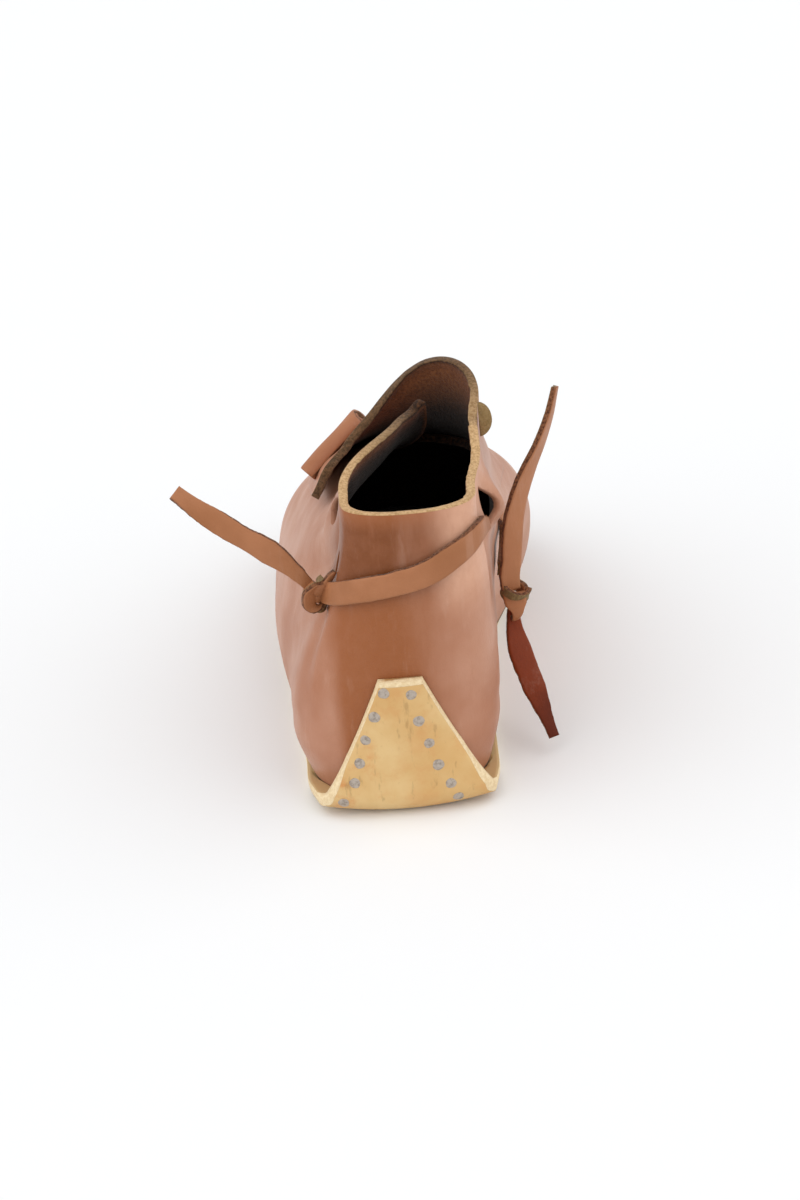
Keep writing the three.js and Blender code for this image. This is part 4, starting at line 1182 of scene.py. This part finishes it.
toggle_at = toggle_at + np.array(camera_right * TOGGLE_SHIFT[0] + camera_up * TOGGLE_SHIFT[1])
toggle_run = unit(near_upper(*TOGGLE_HIGH, TOGGLE_STAND) - near_upper(*TOGGLE_LOW, TOGGLE_STAND))
toggle_first = unit(np.cross(toggle_run, [0, 0, 1]))
toggle_second = np.cross(toggle_run, toggle_first)


def rolled_section():
    """The spiral section of the roll, out along its outer face and back along its inner one."""
    turns = np.linspace(0, 2 * math.pi * ROLL_TURNS, ROLL_POINTS)
    radius = TOGGLE_DIAMETER / 2 - ROLL_PITCH * (turns[-1] - turns) / (2 * math.pi)
    spoke = np.stack([np.cos(turns + TOGGLE_SEAM), np.sin(turns + TOGGLE_SEAM)], -1)
    outer = spoke * radius[:, None]
    inner = spoke * (radius - ROLL_THICKNESS)[:, None]
    flesh = np.repeat([0.0, 1.0], ROLL_POINTS)
    cut = np.zeros(2 * ROLL_POINTS)
    cut[[0, ROLL_POINTS - 1, ROLL_POINTS, -1]] = 1
    return np.vstack([outer, inner[::-1]]), flesh, cut


section, section_flesh, section_cut = rolled_section()
toggle_rings = []
for step in np.linspace(-0.5, 0.5, TOGGLE_STEPS):
    end = 1 - 0.05 * ease((abs(step) - 0.46) / 0.04)
    centre = toggle_at + toggle_run * step * TOGGLE_LENGTH
    wobble = ROLL_WOBBLE * math.sin(step * 9)
    ring = centre + toggle_first * (section[:, :1] * end + wobble) + toggle_second * section[:, 1:] * end
    high, low = (ease((end_way - CANT_FROM) / CANT_RUN) for end_way in (step, -step))
    oblique = (HIGH_CANT * high + LOW_CANT * low) * ((centre - ring) @ np.array(view))
    toggle_rings.append(ring - toggle_run * oblique[:, None])
toggle = ring_mesh("toggle_roll", np.array(toggle_rings), {
    "flesh": np.tile(section_flesh, (TOGGLE_STEPS, 1)), "cut": np.tile(section_cut, (TOGGLE_STEPS, 1))})
face_outwards(toggle)
TOGGLE_FLESH = ("#5f3f28", "#7c5638", "#6e4a2e", "#9a6e48")
toggle.data.materials.append(leather("toggle leather", "#ad7656", "#9b6243", TOGGLE_FLESH, 0.45))
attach(toggle, "root")
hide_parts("toggle")

# Side tab
# A small rounded end of a leather strip lies against the medial side of the collar, with its olive brown
# flesh side out.
TAB_PLACE = (103, 1.10)
TAB_STAND = 0.9 * MM
TAB_REACH = 5 * MM
TAB_HALF_HEIGHT = 6.75 * MM
TAB_TWIST = 0.5 * MM
TAB_SIDES = 24
tab_out = upper_normal(*TAB_PLACE)
tab_up = unit(np.array([0, 0, 1]) - tab_out * tab_out[2])
tab_side = np.cross(tab_out, tab_up)
tab_centre = near_upper(*TAB_PLACE, TAB_STAND)
tab_angles = np.linspace(-math.pi / 2, math.pi / 2, TAB_SIDES)[:, None]
tab_outline = tab_out * TAB_REACH * np.cos(tab_angles) + tab_up * TAB_HALF_HEIGHT * np.sin(tab_angles)
tab_rings = np.array([
    tab_centre + tab_outline * shrink + tab_side * (depth * MM + TAB_TWIST * np.sin(2 * tab_angles))
    for depth, shrink in ((-1.2, 0.94), (-1.0, 1.0), (1.0, 1.0), (1.2, 0.94))
])
tab_cut = np.tile([[0.0], [1.0], [1.0], [0.0]], (1, TAB_SIDES))
side_tab = ring_mesh("side_tab_flesh", tab_rings, {"flesh": np.ones((4, TAB_SIDES)), "cut": tab_cut})
face_outwards(side_tab)
TAB_FLESH = ("#8a6f45", "#a0845a", "#7a6038", "#94784c")
side_tab.data.materials.append(leather("flesh side", "#8e724a", "#7c6140", TAB_FLESH, 0.7))
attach(side_tab, "root")
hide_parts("side_tab")

# Stage and light
# A pale plain floor. The picture's soft light comes from two wide lights at the sides, a weak one above
# and a white surround.
SUN_SPREAD = math.radians(85)
SURROUND_STRENGTH = 0.62
FLOOR_COLOUR = (0.86, 0.87, 0.88, 1)
floor = add_mesh("floor", [(-3, -3, 0), (3, -3, 0), (3, 5, 0), (-3, 5, 0)], [(0, 1, 2, 3)], smooth=False)
floor.data.materials.append(Shader("floor").finish(FLOOR_COLOUR, 0.9))
for name, towards, power in (
    ("left light", (-1.0, -0.25, 0.75), 1.28),
    ("right light", (1.0, -0.2, 0.7), 1.2),
    ("top light", (0.0, -0.5, 1.0), 0.3),
):
    data = bpy.data.lights.new(name, "SUN")
    data.energy = power
    data.angle = SUN_SPREAD
    light = bpy.data.objects.new(name, data)
    light.rotation_euler = Vector(towards).to_track_quat("Z", "Y").to_euler()
    bpy.context.collection.objects.link(light)
world = bpy.data.worlds.new("world")
world.use_nodes = True
surround = world.node_tree.nodes["Background"]
surround.inputs["Color"].default_value = (1, 1, 1, 1)
surround.inputs["Strength"].default_value = SURROUND_STRENGTH
bpy.context.scene.world = world
bpy.context.scene.view_settings.view_transform = "Standard"
